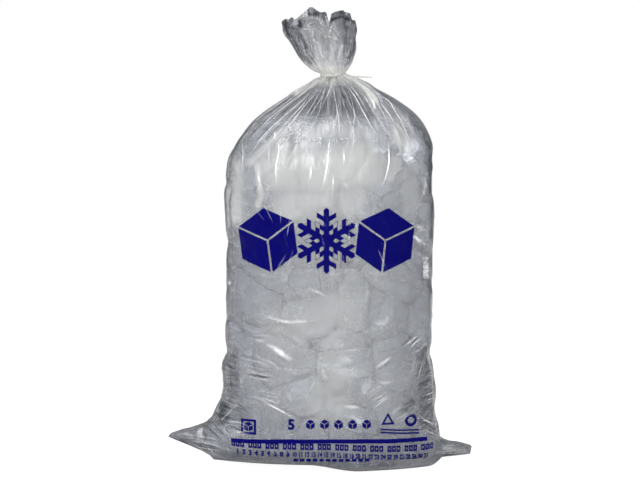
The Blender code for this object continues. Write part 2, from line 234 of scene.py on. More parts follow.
def floor_lift(x, y, height):
    """How far the film is lifted off the floor by the ears and by the slack front."""
    left_share = np.maximum((-x - LEFT_EAR_START) / (HALF_FLAT - LEFT_EAR_START), 0)
    right_share = np.maximum((x - RIGHT_EAR_START) / (HALF_FLAT - RIGHT_EAR_START), 0)
    left = LEFT_EAR_RISE * left_share**LEFT_EAR_CURVE
    right = RIGHT_EAR_RISE * right_share**RIGHT_EAR_CURVE
    front = FRONT_SLACK * smoothstep(*SLACK_FROM_MIDDLE, -x) * smoothstep(*SLACK_FROM_BACK, -y)
    corner = np.exp(-(((x - CORNER_X) / CORNER_WIDTH) ** 2))
    left = left + CORNER_RISE * corner * smoothstep(*CORNER_FROM_BACK, -y)
    return np.maximum(left + right, front) * (1 - smoothstep(*LIFT_FADES, height))


def pleat_wave(angle):
    """The shoulder's uneven pleats round the bag, from -1 to 1."""
    main = np.cos(MAIN_PLEATS * angle + 1.4 * np.sin(angle))
    return 0.65 * main + 0.35 * np.cos((MAIN_PLEATS + 5) * angle + 2.1)


def fold_wave(angle):
    """The large folds of the film above the tie, from -1 to 1."""
    main = np.cos(FOLDS_ABOVE_TIE * angle + 0.9 * np.sin(2 * angle) + 0.4)
    return 0.7 * main + 0.3 * np.cos((FOLDS_ABOVE_TIE - 2) * angle - 1.1)


# Sizes of the ice, in millimetres
CHUNK_SIZE = 41
CHUNK_GAP = 0.5
CHUNK_ROUNDNESS = 26
CHUNK_DENTS, DENTED_SHARE = 0.045, 0.35
CHUNK_DETAIL = 4
CHUNK_CROWDING = 2.1
CHUNKS_IN_A_LUMP = (2, 4)
DENT_SCALE = 2.1
RIPPLE_SCALE, RIPPLE_DEPTH = 6.0, 0.012
SEAT_SAMPLES = 1500
SETTLING_ROUNDS = 6
NEIGHBOUR_REACH = 110
FILM_GAP = 1.4
ICE_TOPS = (322, 339)
ICE_FLOOR = 2.5
TOP_LEAN = 0.25
LEAST_TO_TOP, LEAST_TO_FILM = 8.0, 4.0
STANDING_BACK = (0, 0, 0, 2, 5, 9)


def lump_seats(name, dice):
    """Middles of the chunks that one lump is broken into, evenly spread in it."""
    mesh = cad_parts[name].data
    outward = np.array([face.normal for face in mesh.polygons])
    reach = np.array([face.normal.dot(face.center) for face in mesh.polygons]) / MM
    corners = np.array([vert.co for vert in mesh.vertices]) / MM
    low, high = corners.min(axis=0), corners.max(axis=0)
    samples = dice.uniform(low, high, (SEAT_SAMPLES, 3))
    samples = samples[((samples @ outward.T) < reach).all(axis=1)]
    volume = np.prod(high - low) * len(samples) / SEAT_SAMPLES
    count = int(np.clip(round(volume / CHUNK_SIZE**3 * CHUNK_CROWDING), *CHUNKS_IN_A_LUMP))
    seats = samples[:count].copy()
    for _ in range(SETTLING_ROUNDS):
        nearest = ((samples[:, None] - seats[None]) ** 2).sum(axis=2).argmin(axis=1)
        seats = np.array([samples[nearest == index].mean(axis=0) for index in range(count)])
    return seats


def unit_ball():
    """Directions and faces of an even ball, the start of every chunk."""
    ball = bmesh.new()
    bmesh.ops.create_icosphere(ball, subdivisions=CHUNK_DETAIL, radius=1)
    directions = np.array([vert.co.normalized() for vert in ball.verts])
    faces = np.array([[vert.index for vert in face.verts] for face in ball.faces])
    ball.free()
    return directions, faces


def chunk_points(directions, seat, others, film_tree, dice):
    """One chunk: flat where it meets its neighbours and the film, with rounded edges and melted dents."""
    between = others - seat
    length = np.linalg.norm(between, axis=1)
    near = (length > 1e-6) & (length < NEIGHBOUR_REACH)
    ways = between[near] / length[near][:, None]
    reach = length[near] / 2 - CHUNK_GAP / 2
    lean = Vector((dice.uniform(-TOP_LEAN, TOP_LEAN), dice.uniform(-TOP_LEAN, TOP_LEAN), 1)).normalized()
    ways = np.vstack([ways, lean, (0, 0, -1)])
    to_top = max(dice.uniform(*ICE_TOPS) - seat[2], LEAST_TO_TOP)
    reach = np.append(reach, [to_top, seat[2] - ICE_FLOOR])
    facing = np.maximum(directions @ ways.T, 0) / reach
    start = Vector(seat * MM)
    to_film = np.array([film_tree.ray_cast(start, Vector(way))[3] or 1.0 for way in directions]) / MM
    wall = 1 / np.maximum(to_film - FILM_GAP - dice.choice(STANDING_BACK), LEAST_TO_FILM)
    pulls = np.column_stack([facing, wall]) ** CHUNK_ROUNDNESS
    total = pulls.sum(axis=1)
    radius = total ** (-1 / CHUNK_ROUNDNESS)
    edge = 2 * (1 - pulls.max(axis=1) / total)
    shift = Vector(dice.uniform(-50, 50, 3))
    dents = np.array([noise.noise(Vector(way) * DENT_SCALE + shift) for way in directions])
    ripples = np.array([noise.noise(Vector(way) * RIPPLE_SCALE + shift) for way in directions])
    melted = CHUNK_DENTS * np.maximum(DENTED_SHARE + dents, 0)
    radius = radius * (1 - melted + RIPPLE_DEPTH * (ripples - 1))
    return seat + directions * radius[:, None], edge


def make_ice(film_tree, material):
    """The ice: each lump as its own cluster of smaller chunks, packed against the others and the film."""
    directions, ball_faces = unit_ball()
    dice = np.random.default_rng(SEED)
    names = sorted(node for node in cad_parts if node.startswith("ice_lump"))
    seats = {name: lump_seats(name, dice) for name in names}
    everyone = np.vstack(list(seats.values()))
    pieces = []
    for name in names:
        chunks = [chunk_points(directions, seat, everyone, film_tree, dice) for seat in seats[name]]
        faces = [ball_faces + len(directions) * index for index in range(len(chunks))]
        points = np.vstack([chunk[0] for chunk in chunks])
        piece = new_piece(f"ice_{name[-2:]}", points, np.vstack(faces).tolist(), material)
        mark(piece, "edge", np.concatenate([chunk[1] for chunk in chunks]))
        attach(piece, "root")
        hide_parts(name)
        pieces.append(piece)
    return pieces


def new_piece(name, points_mm, faces, material, smooth=True):
    """A mesh object from points in millimetres."""
    mesh = bpy.data.meshes.new(name)
    mesh.from_pydata((np.asarray(points_mm) * MM).tolist(), [], faces)
    mesh.update()
    if smooth:
        mesh.shade_smooth()
    mesh.materials.append(material)
    piece = bpy.data.objects.new(name, mesh)
    bpy.context.scene.collection.objects.link(piece)
    return piece


def mark(piece, name, values):
    """A value from 0 to 1 at each of the piece's points, for its material to read."""
    attribute = piece.data.attributes.new(name, "FLOAT", "POINT")
    attribute.data.foreach_set("value", np.asarray(values, np.float32).ravel())


def search_tree(pieces):
    """One search tree over the surfaces of several pieces, in metres."""
    points, faces = [], []
    for piece in pieces:
        start = len(points)
        points += [vert.co.copy() for vert in piece.data.vertices]
        faces += [[start + index for index in face.vertices] for face in piece.data.polygons]
    return BVHTree.FromPolygons(points, faces)


# How the film settles on the ice, in millimetres
DENT_DEPTH = 4.5
DENT_WIDTH = 7
CLOSEST = 0.7
NO_ICE_DISTANCE = 30
LOWEST_DENT = 8
DENTS_START, DENTS_END = (10, 40), (300, 336)


def settle_on_ice(film, ice_tree):
    """The film dips between the chunks, where nothing holds it out. Gives how deep, from 0 to 1."""
    normal = film.outward()
    distance = np.full(film.points.shape[:2], FILM_GAP)
    levels = film.levels[:, HEIGHT]
    rows = np.nonzero((levels > LOWEST_DENT) & (levels < DENTS_END[1]))[0]
    for row in rows:
        for column in range(COLUMNS):
            start = Vector(film.points[row, column] * MM)
            hit = ice_tree.ray_cast(start, Vector(-normal[row, column]), NO_ICE_DISTANCE * MM)
            distance[row, column] = NO_ICE_DISTANCE if hit[3] is None else hit[3] / MM
    slack = np.maximum(distance - FILM_GAP, 0)
    dent = blurred(DENT_DEPTH * (1 - np.exp(-slack / DENT_WIDTH)), 1, 1)
    dent = np.clip(dent, 0, np.maximum(distance - CLOSEST, 0))
    dent = blurred(dent, 1, 1)
    fade = smoothstep(*DENTS_START, film.column(HEIGHT)) * (1 - smoothstep(*DENTS_END, film.column(HEIGHT)))
    film.points -= normal * (dent * fade)[..., None]
    return dent * fade / DENT_DEPTH


# Pleats that run from the tie, in millimetres
NECK_PLEATS = 30
NECK_PLEAT_DEPTH = 1.5
NECK_PLEAT_REACH = 9
NECK_CREST, CREST_HEIGHT, CREST_REACH = 0.9, 370.5, 2.6
TIE_COVER, COVER_HEIGHT, COVER_REACH = 2.8, 376.5, 6.5
FINE_PLEATS = 46
FINE_PLEAT_WIDTHS = (0.018, 0.05)
FINE_PLEAT_LENGTHS = (12, 75)
FINE_PLEAT_DEPTHS = (0.5, 1.7)

# Thick gathers of film that come out from under the tie: pixels in the photograph, width in pixels, rise
GATHERS = [
    ([(341, 76), (352, 79), (364, 86), (375, 99)], 6.0, 4.2),
    ([(322, 79), (308, 86), (294, 95)], 4.5, 1.2),
]


def gather_at_neck(film, dice):
    """Fine pleats, deepest close under the tie and fading down the shoulder, and crushed folds through it."""
    height = film.column(HEIGHT)
    angle = film.angles[None, :]
    wobble = 0.25 * np.sin(3 * angle + 1) + 0.18 * np.sin(7 * angle)
    sharp = 1 - 2 * abs(np.sin(NECK_PLEATS / 2 * (angle + wobble * 0.3)))
    near = np.exp(-abs(height - NECK_HEIGHT - 1) / NECK_PLEAT_REACH)
    move = NECK_PLEAT_DEPTH * near * (sharp - 1) / 2
    crest = np.exp(-(((height - CREST_HEIGHT) / CREST_REACH) ** 2))
    move = move + NECK_CREST * crest * (0.6 + 0.4 * sharp)
    front = smoothstep(-0.1, 0.6, -np.sin(angle))
    cover = np.exp(-(((height - COVER_HEIGHT) / COVER_REACH) ** 2))
    move = move + TIE_COVER * cover * front * (0.8 + 0.2 * sharp)
    for _ in range(FINE_PLEATS):
        middle = dice.uniform(0, 2 * math.pi)
        width = dice.uniform(*FINE_PLEAT_WIDTHS)
        length = dice.uniform(*FINE_PLEAT_LENGTHS)
        size = dice.uniform(*FINE_PLEAT_DEPTHS) * dice.choice((-1, 1))
        away = (angle - middle + math.pi) % (2 * math.pi) - math.pi
        down = np.clip((NECK_HEIGHT - height) / length, 0, 1)
        along = smoothstep(0, 0.12, down) * (1 - down) ** 1.2
        move = move + size * along * np.exp(-((away / width) ** 2)) * (height < NECK_HEIGHT)
    for pixels, width, rise in GATHERS:
        move = move + rise * painted(film, pixels, width) * (height < NECK_HEIGHT - 1)
    film.points += film.outward() * move[..., None]


# The crushed film above the tie: ripples round it, and the back edge's drop, in millimetres
WIDE_RIPPLE, NARROW_RIPPLE, LEVEL_RIPPLE = 1.3, 0.8, 1.1
BACK_EDGE_DROP = 2.2
EDGE_SHAPES_FROM = 402


def crush_flare(film):
    """The film above the tie: small folds over the large ones, and a ragged mouth. Gives where it is."""
    height = film.column(HEIGHT)
    share = smoothstep(NECK_HEIGHT + 6, MOUTH_HEIGHT, height)
    normal = film.outward()
    angle = film.angles[None, :]
    wide = WIDE_RIPPLE * np.sin(17 * angle + 2 * np.sin(2 * angle))
    move = wide + NARROW_RIPPLE * np.sin(29 * angle + 0.05 * height)
    move = move + LEVEL_RIPPLE * np.sin(0.24 * height + 3 * angle) * share
    film.points += normal * (move * share)[..., None]
    places, heights = np.array(MOUTH_EDGE).T
    back = np.sin(film.angles)[None, :] > 0
    x = film.points[..., 0]
    back_edge = np.interp(0.94 * x + 1.2, places, heights) - BACK_EDGE_DROP
    edge = np.where(back, back_edge, np.interp(x, places, heights))
    top = smoothstep(EDGE_SHAPES_FROM, MOUTH_HEIGHT + 8, height)
    film.points[..., 2] += (edge - MOUTH_HEIGHT - 8) * top
    return share


# Wrinkles of the slack film, in millimetres
WALL_WRINKLES = 150
WRINKLE_X, WRINKLE_HEIGHTS = (-105, 115), (14, 318)
WRINKLE_LENGTHS, WRINKLE_WIDTHS, WRINKLE_DEPTHS = (9, 30), (1.8, 4.0), (0.3, 1.0)
LYING_BELOW = 140


def wrinkle_walls(film, dice):
    """Low soft wrinkles over the whole bag: upright high up, and lying or slanting low down."""
    normal = film.outward()
    x, y, z = (film.points[..., axis] for axis in range(3))
    move = np.zeros(x.shape)
    for index in range(WALL_WRINKLES):
        front = index % 2
        px = dice.uniform(*WRINKLE_X)
        pz = dice.uniform(*WRINKLE_HEIGHTS)
        low = pz < LYING_BELOW
        slant = dice.gauss(0, 0.35) + (0 if low else math.pi / 2)
        if low and px < -40:
            slant = dice.gauss(-0.3, 0.3)
        if low and px > 60:
            slant = dice.gauss(0.4, 0.3)
        length = dice.uniform(*WRINKLE_LENGTHS)
        width = dice.uniform(*WRINKLE_WIDTHS)
        size = dice.uniform(*WRINKLE_DEPTHS) * dice.choice((-1, 1, 1))
        dx, dz = x - px, z - pz
        along = dx * math.cos(slant) + dz * math.sin(slant)
        across = -dx * math.sin(slant) + dz * math.cos(slant)
        side = (y < 0) if front else (y >= 0)
        move += side * size * np.exp(-((along / length) ** 2) - ((across / width) ** 2))
    film.points += normal * move[..., None]


def photo_camera():
    """Where the photograph's camera stands, and the way it looks."""
    back = Vector((0, -math.cos(CAMERA_ELEVATION), math.sin(CAMERA_ELEVATION)))
    return CAMERA_AIM + back * CAMERA_DISTANCE, -back


def through_pixel(px, py):
    """The start and direction of the line of sight through a pixel of the photograph."""
    start, forward = photo_camera()
    right = Vector((1, 0, 0))
    up = right.cross(forward)
    way = forward * FOCAL_LENGTH_PX + right * (px - PHOTO_WIDTH / 2) + up * (PHOTO_HEIGHT / 2 - py)
    return start, way.normalized()


class FoldMaker:
    """Pinched folds: narrow ridges of film that lie on the bag and catch the light; their colour adds painted
    highlight where they are strong and painted shade where they are creases.
    """

    OFFSETS = (-1, -0.5, 0, 0.5, 1)
    RISE = (0, 0.55, 1, 0.55, 0)
    LIFT = 0.15
    SPACING = 1.6

    def __init__(self, tree):
        self.tree = tree
        self.points = []
        self.faces = []
        self.strengths = []
        self.shades = []

    def on_film(self, place):
        """The film's nearest spot to the place, and the way it faces there."""
        spot, normal, _, _ = self.tree.find_nearest(place)
        return spot, normal

    def add(self, path, width, height, strength, taper=0.35, shade=0.0):
        """A fold along path, a list of places in metres, thin at both ends. Shade 1 is a crease of painted
        shade.
        """
        start = len(self.points)
        count = len(path)
        for index, place in enumerate(path):
            share = index / (count - 1)
            swell = min(share / taper, (1 - share) / taper, 1) ** 0.7
            spot, normal = self.on_film(place)
            ahead = path[min(index + 1, count - 1)] - path[max(index - 1, 0)]
            side = normal.cross(ahead).normalized()
            for offset, rise in zip(self.OFFSETS, self.RISE):
                beside = spot + side * offset * width / 2 * MM * (0.35 + 0.65 * swell)
                beside, facing = self.on_film(beside)
                self.points.append((beside + facing * (self.LIFT + rise * height * swell) * MM) / MM)
                self.strengths.append(strength * swell * (1 - abs(offset)) ** 0.8)
                self.shades.append(shade)
        wide = len(self.OFFSETS)
        for index in range(count - 1):
            for step in range(wide - 1):
                first = start + index * wide + step
                self.faces.append((first, first + 1, first + wide + 1, first + wide))

    def front(self, pixels, width, height, strength, taper=0.35, shade=0.0):
        """A fold drawn on the front through these pixels of the photograph."""
        corners = []
        for px, py in pixels:
            start, way = through_pixel(px, py)
            hit = self.tree.ray_cast(start, way)
            if hit[0] is not None:
                corners.append(hit[0])
        if len(corners) > 1:
            self.add(rounded_path(corners, self.SPACING), width, height, strength, taper, shade)


def rounded_path(corners, spacing):
    """Evenly spaced places along a smooth curve through the corners, in metres."""
    steps = [0]
    for first, second in zip(corners, corners[1:]):
        steps.append(steps[-1] + (second - first).length / MM)
    count = max(int(steps[-1] / spacing), 4)
    knots, values = np.array(steps), np.array(corners)
    places = np.linspace(0, steps[-1], count)
    if len(corners) == 2:
        shares = (places / steps[-1])[:, None]
        return [Vector(row) for row in values[0] * (1 - shares) + values[1] * shares]
    return [Vector(row) for row in smooth_through(knots, values, places)]


# Pinched folds on the front, whitened partly as stress-whitened film and partly as painted highlight, each
# with its pixels in the photograph, width, height and strength
STREAKS = [
    ([(243, 138), (243, 160), (242, 178)], 2.0, 0.7, 0.6),
    ([(275, 130), (275, 136), (275, 142)], 2.2, 0.8, 0.8),
    ([(279, 135), (279, 150), (276, 168), (277, 190)], 2.6, 1.0, 0.85),
    ([(269, 140), (269, 155), (269, 168)], 1.5, 0.5, 0.5),
    ([(260, 166), (259, 176), (261, 186), (258, 192)], 3.2, 0.9, 0.6),
    ([(309, 128), (307, 142), (306, 158)], 2.0, 0.6, 0.4),
    ([(311, 161), (311, 173), (308, 184)], 2.0, 0.8, 0.9),
    ([(330, 134), (328, 160), (325, 178), (322, 192)], 3.2, 1.2, 1.0),
    ([(333, 172), (333, 182), (332, 192)], 1.6, 0.6, 0.75),
    ([(343, 146), (344, 158), (343, 168)], 1.8, 0.7, 0.8),
    ([(388, 140), (389, 158), (386, 176), (381, 188)], 2.6, 1.0, 0.9),
    ([(306, 287), (317, 292), (328, 297)], 3.4, 1.0, 0.48),
    ([(365, 279), (367, 293), (365, 308)], 3.1, 0.8, 0.31),
    ([(258, 312), (274, 319), (291, 322), (309, 321), (322, 318)], 4.1, 1.1, 0.51),
    ([(266, 343), (276, 349), (286, 356), (294, 361)], 7.5, 1.5, 0.75),
    ([(276, 371), (290, 370), (303, 371)], 1.7, 0.5, 0.34),
    ([(285, 374), (303, 373)], 1.7, 0.5, 0.31),
    ([(327, 370), (345, 370), (362, 370)], 1.7, 0.6, 0.41),
    ([(335, 375), (355, 375), (372, 375)], 1.7, 0.6, 0.41),
    ([(375, 369), (383, 363), (392, 356)], 5.0, 1.1, 0.48),
    ([(321, 360), (323, 370), (327, 384)], 2.9, 0.7, 0.24),
    ([(257, 398), (276, 408), (298, 420)], 2.6, 0.7, 0.8),
    ([(288, 391), (290, 398), (294, 402)], 2.9, 0.9, 0.54),
    ([(343, 405), (352, 407), (361, 407)], 5.0, 1.0, 0.48),
    ([(378, 381), (384, 383), (391, 382)], 3.4, 0.8, 0.37),
    ([(372, 321), (379, 324), (385, 321)], 2.9, 0.9, 0.51),
    ([(361, 331), (369, 332)], 2.6, 0.8, 0.48),
    ([(338, 345), (346, 345)], 3.6, 0.9, 0.48),
    ([(345, 350), (362, 350)], 2.2, 0.6, 0.34),
    ([(218, 424), (228, 414), (238, 403)], 1.9, 0.6, 0.48),
    ([(204, 426), (202, 440)], 2.9, 0.9, 0.48),
    ([(252, 338), (262, 341), (268, 340)], 2.6, 0.7, 0.34),
    ([(262, 299), (263, 318)], 2.4, 0.6, 0.2),
    ([(318, 305), (360, 303)], 1.6, 0.4, 0.2),
    ([(262, 358), (272, 363), (278, 370), (276, 376)], 1.9, 0.6, 0.41),
    ([(240, 374), (241, 384), (244, 396)], 1.9, 0.5, 0.34),
    ([(404, 153), (412, 153), (417, 158)], 1.6, 0.5, 0.5),
    ([(203, 427), (200, 432), (198, 438)], 5.0, 1.0, 0.5),
    ([(220, 424), (226, 431), (232, 438)], 1.8, 0.6, 0.5),
    ([(176, 434), (186, 434), (196, 437)], 2.4, 0.5, 0.3),
    ([(208, 447), (216, 455)], 2.2, 0.5, 0.35),
    ([(446, 448), (452, 450), (462, 448)], 2.0, 0.5, 0.5),
    ([(441, 442), (445, 450)], 1.6, 0.5, 0.4),
    ([(434, 458), (448, 457)], 2.0, 0.5, 0.4),
    ([(402, 416), (412, 408), (424, 404)], 2.0, 0.6, 0.35),
    ([(404, 154), (400, 165), (391, 178), (384, 186)], 2.0, 0.6, 0.3),
]

# Fans of fine folds, whitened with painted highlight: where they start and end, across two edges of pixels,
# how many, and how strong
FANS = [
    ((238, 358), (240, 374), (276, 369), (280, 382), 6, 0.28),
    ((229, 350), (226, 374), (244, 360), (244, 378), 5, 0.18),
    ((226, 390), (219, 406), (250, 402), (250, 416), 6, 0.2),
    ((224, 422), (226, 436), (252, 428), (254, 436), 5, 0.4),
    ((422, 331), (429, 340), (401, 347), (410, 354), 4, 0.55),
    ((433, 372), (434, 400), (418, 382), (420, 408), 7, 0.4),
    ((416, 354), (431, 364), (410, 376), (424, 392), 6, 0.4),
    ((388, 384), (393, 396), (366, 396), (372, 412), 6, 0.4),
    ((405, 402), (414, 412), (388, 414), (396, 424), 4, 0.35),
    ((256, 390), (256, 398), (286, 396), (284, 406), 4, 0.35),
    ((185, 434), (190, 444), (222, 440), (226, 452), 5, 0.35),
    ((438, 444), (442, 456), (462, 450), (462, 456), 4, 0.35),
    ((416, 412), (422, 428), (436, 424), (436, 436), 5, 0.4),
    ((232, 196), (228, 216), (252, 204), (250, 222), 4, 0.25),
    ((362, 86), (374, 92), (392, 150), (424, 160), 12, 0.22),
    ((366, 90), (380, 96), (384, 126), (410, 130), 8, 0.2),
    ((296, 96), (312, 104), (236, 150), (262, 176), 12, 0.25),
    ((326, 370), (328, 376), (368, 369), (374, 376), 4, 0.3),
    ((408, 200), (410, 300), (430, 210), (430, 310), 9, 0.25),
    ((228, 230), (228, 320), (244, 238), (246, 330), 9, 0.25),
]

# Short creases of painted shade on the front: pixels, width and strength
CREASES = [
    ([(417, 386), (423, 383), (429, 380)], 2.2, 1.0),
    ([(418, 390), (424, 386), (428, 383)], 1.8, 0.9),
    ([(426, 392), (424, 400), (422, 406)], 2.2, 0.8),
    ([(428, 394), (427, 404)], 2.0, 0.8),
    ([(430, 345), (428, 352), (424, 361)], 2.2, 0.9),
    ([(433, 350), (430, 364)], 2.2, 0.8),
    ([(397, 410), (404, 405), (412, 402)], 3.0, 0.6),
    ([(376, 371), (384, 366), (391, 361)], 1.8, 0.6),
    ([(400, 347), (408, 340), (416, 332)], 2.0, 0.6),
    ([(405, 351), (413, 343), (421, 334)], 1.6, 0.5),
    ([(229, 352), (232, 358)], 2.4, 0.9),
    ([(226, 362), (238, 371)], 2.0, 0.7),
    ([(230, 366), (237, 373)], 2.0, 0.7),
    ([(230, 376), (233, 392)], 2.6, 0.8),
    ([(227, 378), (226, 392)], 2.2, 0.8),
    ([(233, 392), (246, 402)], 2.0, 0.8),
    ([(237, 402), (249, 413)], 2.0, 0.8),
    ([(223, 402), (233, 412)], 2.4, 0.9),
    ([(228, 399), (237, 406)], 1.8, 0.7),
    ([(219, 412), (226, 410)], 4.0, 1.0),
    ([(220, 417), (226, 415)], 4.0, 0.9),
    ([(243, 366), (262, 370), (276, 372)], 1.8, 0.5),
    ([(246, 373), (262, 376), (275, 379)], 1.8, 0.55),
    ([(226, 424), (238, 429), (250, 433)], 1.8, 0.6),
    ([(222, 428), (232, 434)], 1.8, 0.6),
    ([(241, 352), (248, 357)], 3.0, 0.5),
    ([(308, 338), (312, 350)], 5.0, 0.3),
    ([(334, 326), (337, 332)], 2.6, 0.5),
    ([(201, 427), (206, 425), (211, 421)], 3.4, 1.0),
    ([(203, 430), (206, 438), (203, 447)], 2.6, 0.9),
    ([(207, 426), (214, 433), (222, 441)], 2.6, 0.8),
    ([(212, 422), (222, 432), (229, 440)], 1.8, 0.7),
    ([(201, 437), (202, 447)], 1.8, 0.7),
    ([(214, 428), (226, 436)], 1.8, 0.6),
    ([(182, 438), (198, 445), (212, 452)], 2.0, 0.5),
    ([(438, 436), (444, 442), (452, 445)], 3.2, 1.0),
    ([(437, 422), (438, 430), (437, 436)], 3.0, 1.0),
    ([(445, 452), (456, 454)], 1.8, 0.6),
    ([(466, 445), (468, 451)], 3.0, 0.7),
    ([(418, 426), (428, 421), (436, 424)], 2.2, 0.8),
    ([(416, 433), (426, 427), (436, 430)], 2.2, 0.7),
    ([(434, 404), (432, 412), (437, 422)], 2.0, 0.8),
    ([(236, 148), (231, 157)], 2.8, 1.0),
    ([(274, 110), (267, 114)], 2.2, 0.9),
    ([(256, 121), (249, 127)], 2.2, 0.9),
    ([(343, 77), (353, 76)], 1.8, 0.9),
    ([(344, 80), (356, 96), (362, 106)], 1.8, 0.9),
    ([(340, 91), (347, 101)], 3.4, 0.7),
    ([(351, 123), (356, 128)], 3.0, 0.7),
    ([(364, 114), (372, 126), (379, 135)], 1.6, 0.8),
    ([(302, 111), (310, 102)], 2.6, 0.7),
    ([(290, 123), (300, 108)], 1.8, 0.6),
    ([(277, 117), (288, 108)], 1.8, 0.6),
    ([(256, 142), (270, 128)], 1.8, 0.6),
    ([(301, 21), (301, 29)], 4.0, 1.0),
    ([(305, 55), (313, 65)], 3.0, 0.9),
    ([(309, 54), (318, 67)], 1.6, 0.7),
    ([(342, 60), (346, 46)], 1.6, 0.7),
    ([(347, 62), (351, 48)], 1.8, 0.7),
    ([(320, 27), (314, 24), (308, 27)], 1.2, 0.6),
    ([(427, 142), (430, 152)], 2.4, 0.9),
    ([(423, 160), (428, 168), (430, 176)], 2.4, 0.8),
    ([(427, 180), (431, 192)], 2.4, 0.8),
]

# Fans of creases of painted shade, in the same way
DARK_FANS = [
    ((225, 350), (224, 392), (238, 360), (242, 394), 10, 0.6),
    ((219, 400), (214, 420), (248, 410), (240, 430), 10, 0.6),
    ((240, 362), (242, 376), (276, 372), (276, 380), 6, 0.45),
    ((432, 376), (433, 386), (416, 384), (416, 394), 4, 0.6),
    ((430, 345), (434, 362), (418, 368), (426, 384), 5, 0.6),
    ((432, 362), (434, 380), (412, 372), (414, 392), 6, 0.5),
    ((434, 386), (434, 404), (418, 404), (422, 420), 6, 0.55),
    ((436, 408), (438, 430), (416, 418), (420, 436), 6, 0.5),
    ((418, 400), (432, 404), (398, 412), (416, 424), 5, 0.45),
    ((310, 96), (340, 90), (304, 112), (340, 120), 14, 0.6),
    ((340, 92), (352, 96), (344, 118), (372, 120), 8, 0.5),
    ((288, 28), (294, 48), (302, 30), (308, 58), 7, 0.5),
    ((346, 24), (354, 30), (342, 56), (350, 54), 5, 0.5),
    ((408, 112), (422, 124), (424, 150), (431, 165), 6, 0.5),
    ((262, 118), (280, 108), (248, 140), (262, 136), 6, 0.45),
    ((366, 88), (378, 94), (398, 146), (426, 156), 8, 0.4),
    ((292, 102), (306, 108), (240, 146), (266, 168), 8, 0.25),
]

# Long folds that run down from the tie, whitened with painted highlight
SHOULDER_FOLDS = [
    ([(312, 87), (296, 98), (275, 115), (257, 132), (245, 143)], 1.9, 0.7, 0.7),
    ([(306, 89), (286, 103), (268, 118), (256, 130)], 1.5, 0.5, 0.55),
    ([(318, 85), (300, 103), (283, 118), (258, 143), (246, 165)], 2.0, 0.8, 0.75),
    ([(316, 90), (300, 108), (284, 126), (268, 146), (252, 164)], 1.8, 0.6, 0.65),
    ([(320, 88), (308, 102), (294, 120), (280, 140)], 1.5, 0.5, 0.55),
    ([(322, 88), (313, 104), (304, 122), (298, 140)], 1.4, 0.5, 0.5),
    ([(300, 112), (290, 124), (281, 134)], 1.3, 0.5, 0.5),
    ([(298, 97), (280, 108), (262, 122), (250, 134)], 1.4, 0.5, 0.5),
    ([(290, 126), (280, 140), (272, 152)], 1.3, 0.5, 0.4),
    ([(326, 86), (322, 100), (318, 116)], 1.4, 0.5, 0.55),
    ([(329, 86), (328, 104), (330, 122)], 1.4, 0.5, 0.5),
    ([(333, 86), (336, 104), (339, 124), (341, 146)], 1.7, 0.6, 0.65),
    ([(337, 84), (345, 108), (352, 130), (358, 150)], 1.4, 0.5, 0.5),
    ([(340, 84), (350, 104), (359, 124), (364, 142)], 1.4, 0.5, 0.5),
    ([(343, 79), (355, 97), (363, 112), (376, 133), (386, 142)], 2.0, 0.8, 0.85),
    ([(345, 77), (358, 95), (368, 113), (382, 134)], 1.4, 0.5, 0.55),
    ([(348, 78), (362, 92), (372, 108), (384, 128), (397, 150)], 1.4, 0.5, 0.5),
    ([(372, 92), (386, 99), (397, 115), (407, 135), (415, 150), (418, 160)], 2.0, 0.8, 0.8),
    ([(366, 86), (380, 96), (392, 112), (402, 130)], 1.4, 0.5, 0.5),
    ([(405, 110), (410, 128), (417, 145)], 1.5, 0.5, 0.5),
    ([(370, 97), (374, 104), (375, 111)], 2.8, 1.3, 1.0),
    ([(340, 150), (310, 148), (296, 152)], 1.3, 0.4, 0.3),
    ([(350, 146), (372, 150), (384, 148)], 1.3, 0.4, 0.35),
]


# How much wider and stronger than in their table the streaks are, above and below the print
HIGH_STREAKS, LOW_STREAKS = (0.75, 1.15), (1.05, 0.82)
PRINT_PIXEL = 270
SHOULDER_FINENESS = 0.8

# The two fainter streaks beside each: their shift in pixels, and their size and strength as shares
ECHOES, ECHO_ACROSS, ECHO_DOWN = 2, (-2.2, 2.2), (-1.0, 1.0)
ECHO_WIDTHS, ECHO_HEIGHT, ECHO_STRENGTHS = (0.3, 0.45), 0.6, (0.3, 0.7)

# How far a fan's folds are out of step and bowed, how wide they are in millimetres, and how strong
FAN_STEPS, FAN_BOWS, FAN_WIDTHS, FAN_STRENGTHS = (-0.3, 0.3), (-2.5, 2.5), (1.1, 2.2), (0.6, 1.3)

# Folds that are scattered: how many, and the pixels of the photograph that they keep to
FAINT_FOLDS, FAINT_ACROSS, FAINT_DOWN = 130, (228, 432), (125, 410)
LYING_BELOW_PIXEL = 330
MOUTH_SCRATCHES, SCRATCHES_ACROSS, SCRATCHES_DOWN = 220, (286, 356), (16, 66)

# Folds that follow the film's own grid: how many, and the rows and columns that they keep to
NECK_FOLDS, NECK_FOLD_ROWS = 190, (14, 58)
MOUTH_FOLDS, MOUTH_FOLD_ROWS, MOUTH_ROWS = 80, (8, 28), 34
OTHER_FOLDS, OTHER_FOLD_STEPS = 300, (8, 24)
OTHER_ROWS, OTHER_ROW_LIMITS = (40, 170), (30, 200)
OTHER_COLUMNS = {"back": (60, 125), "left": (140, 176), "right": (350, 396)}
UPRIGHT_ABOVE = 150


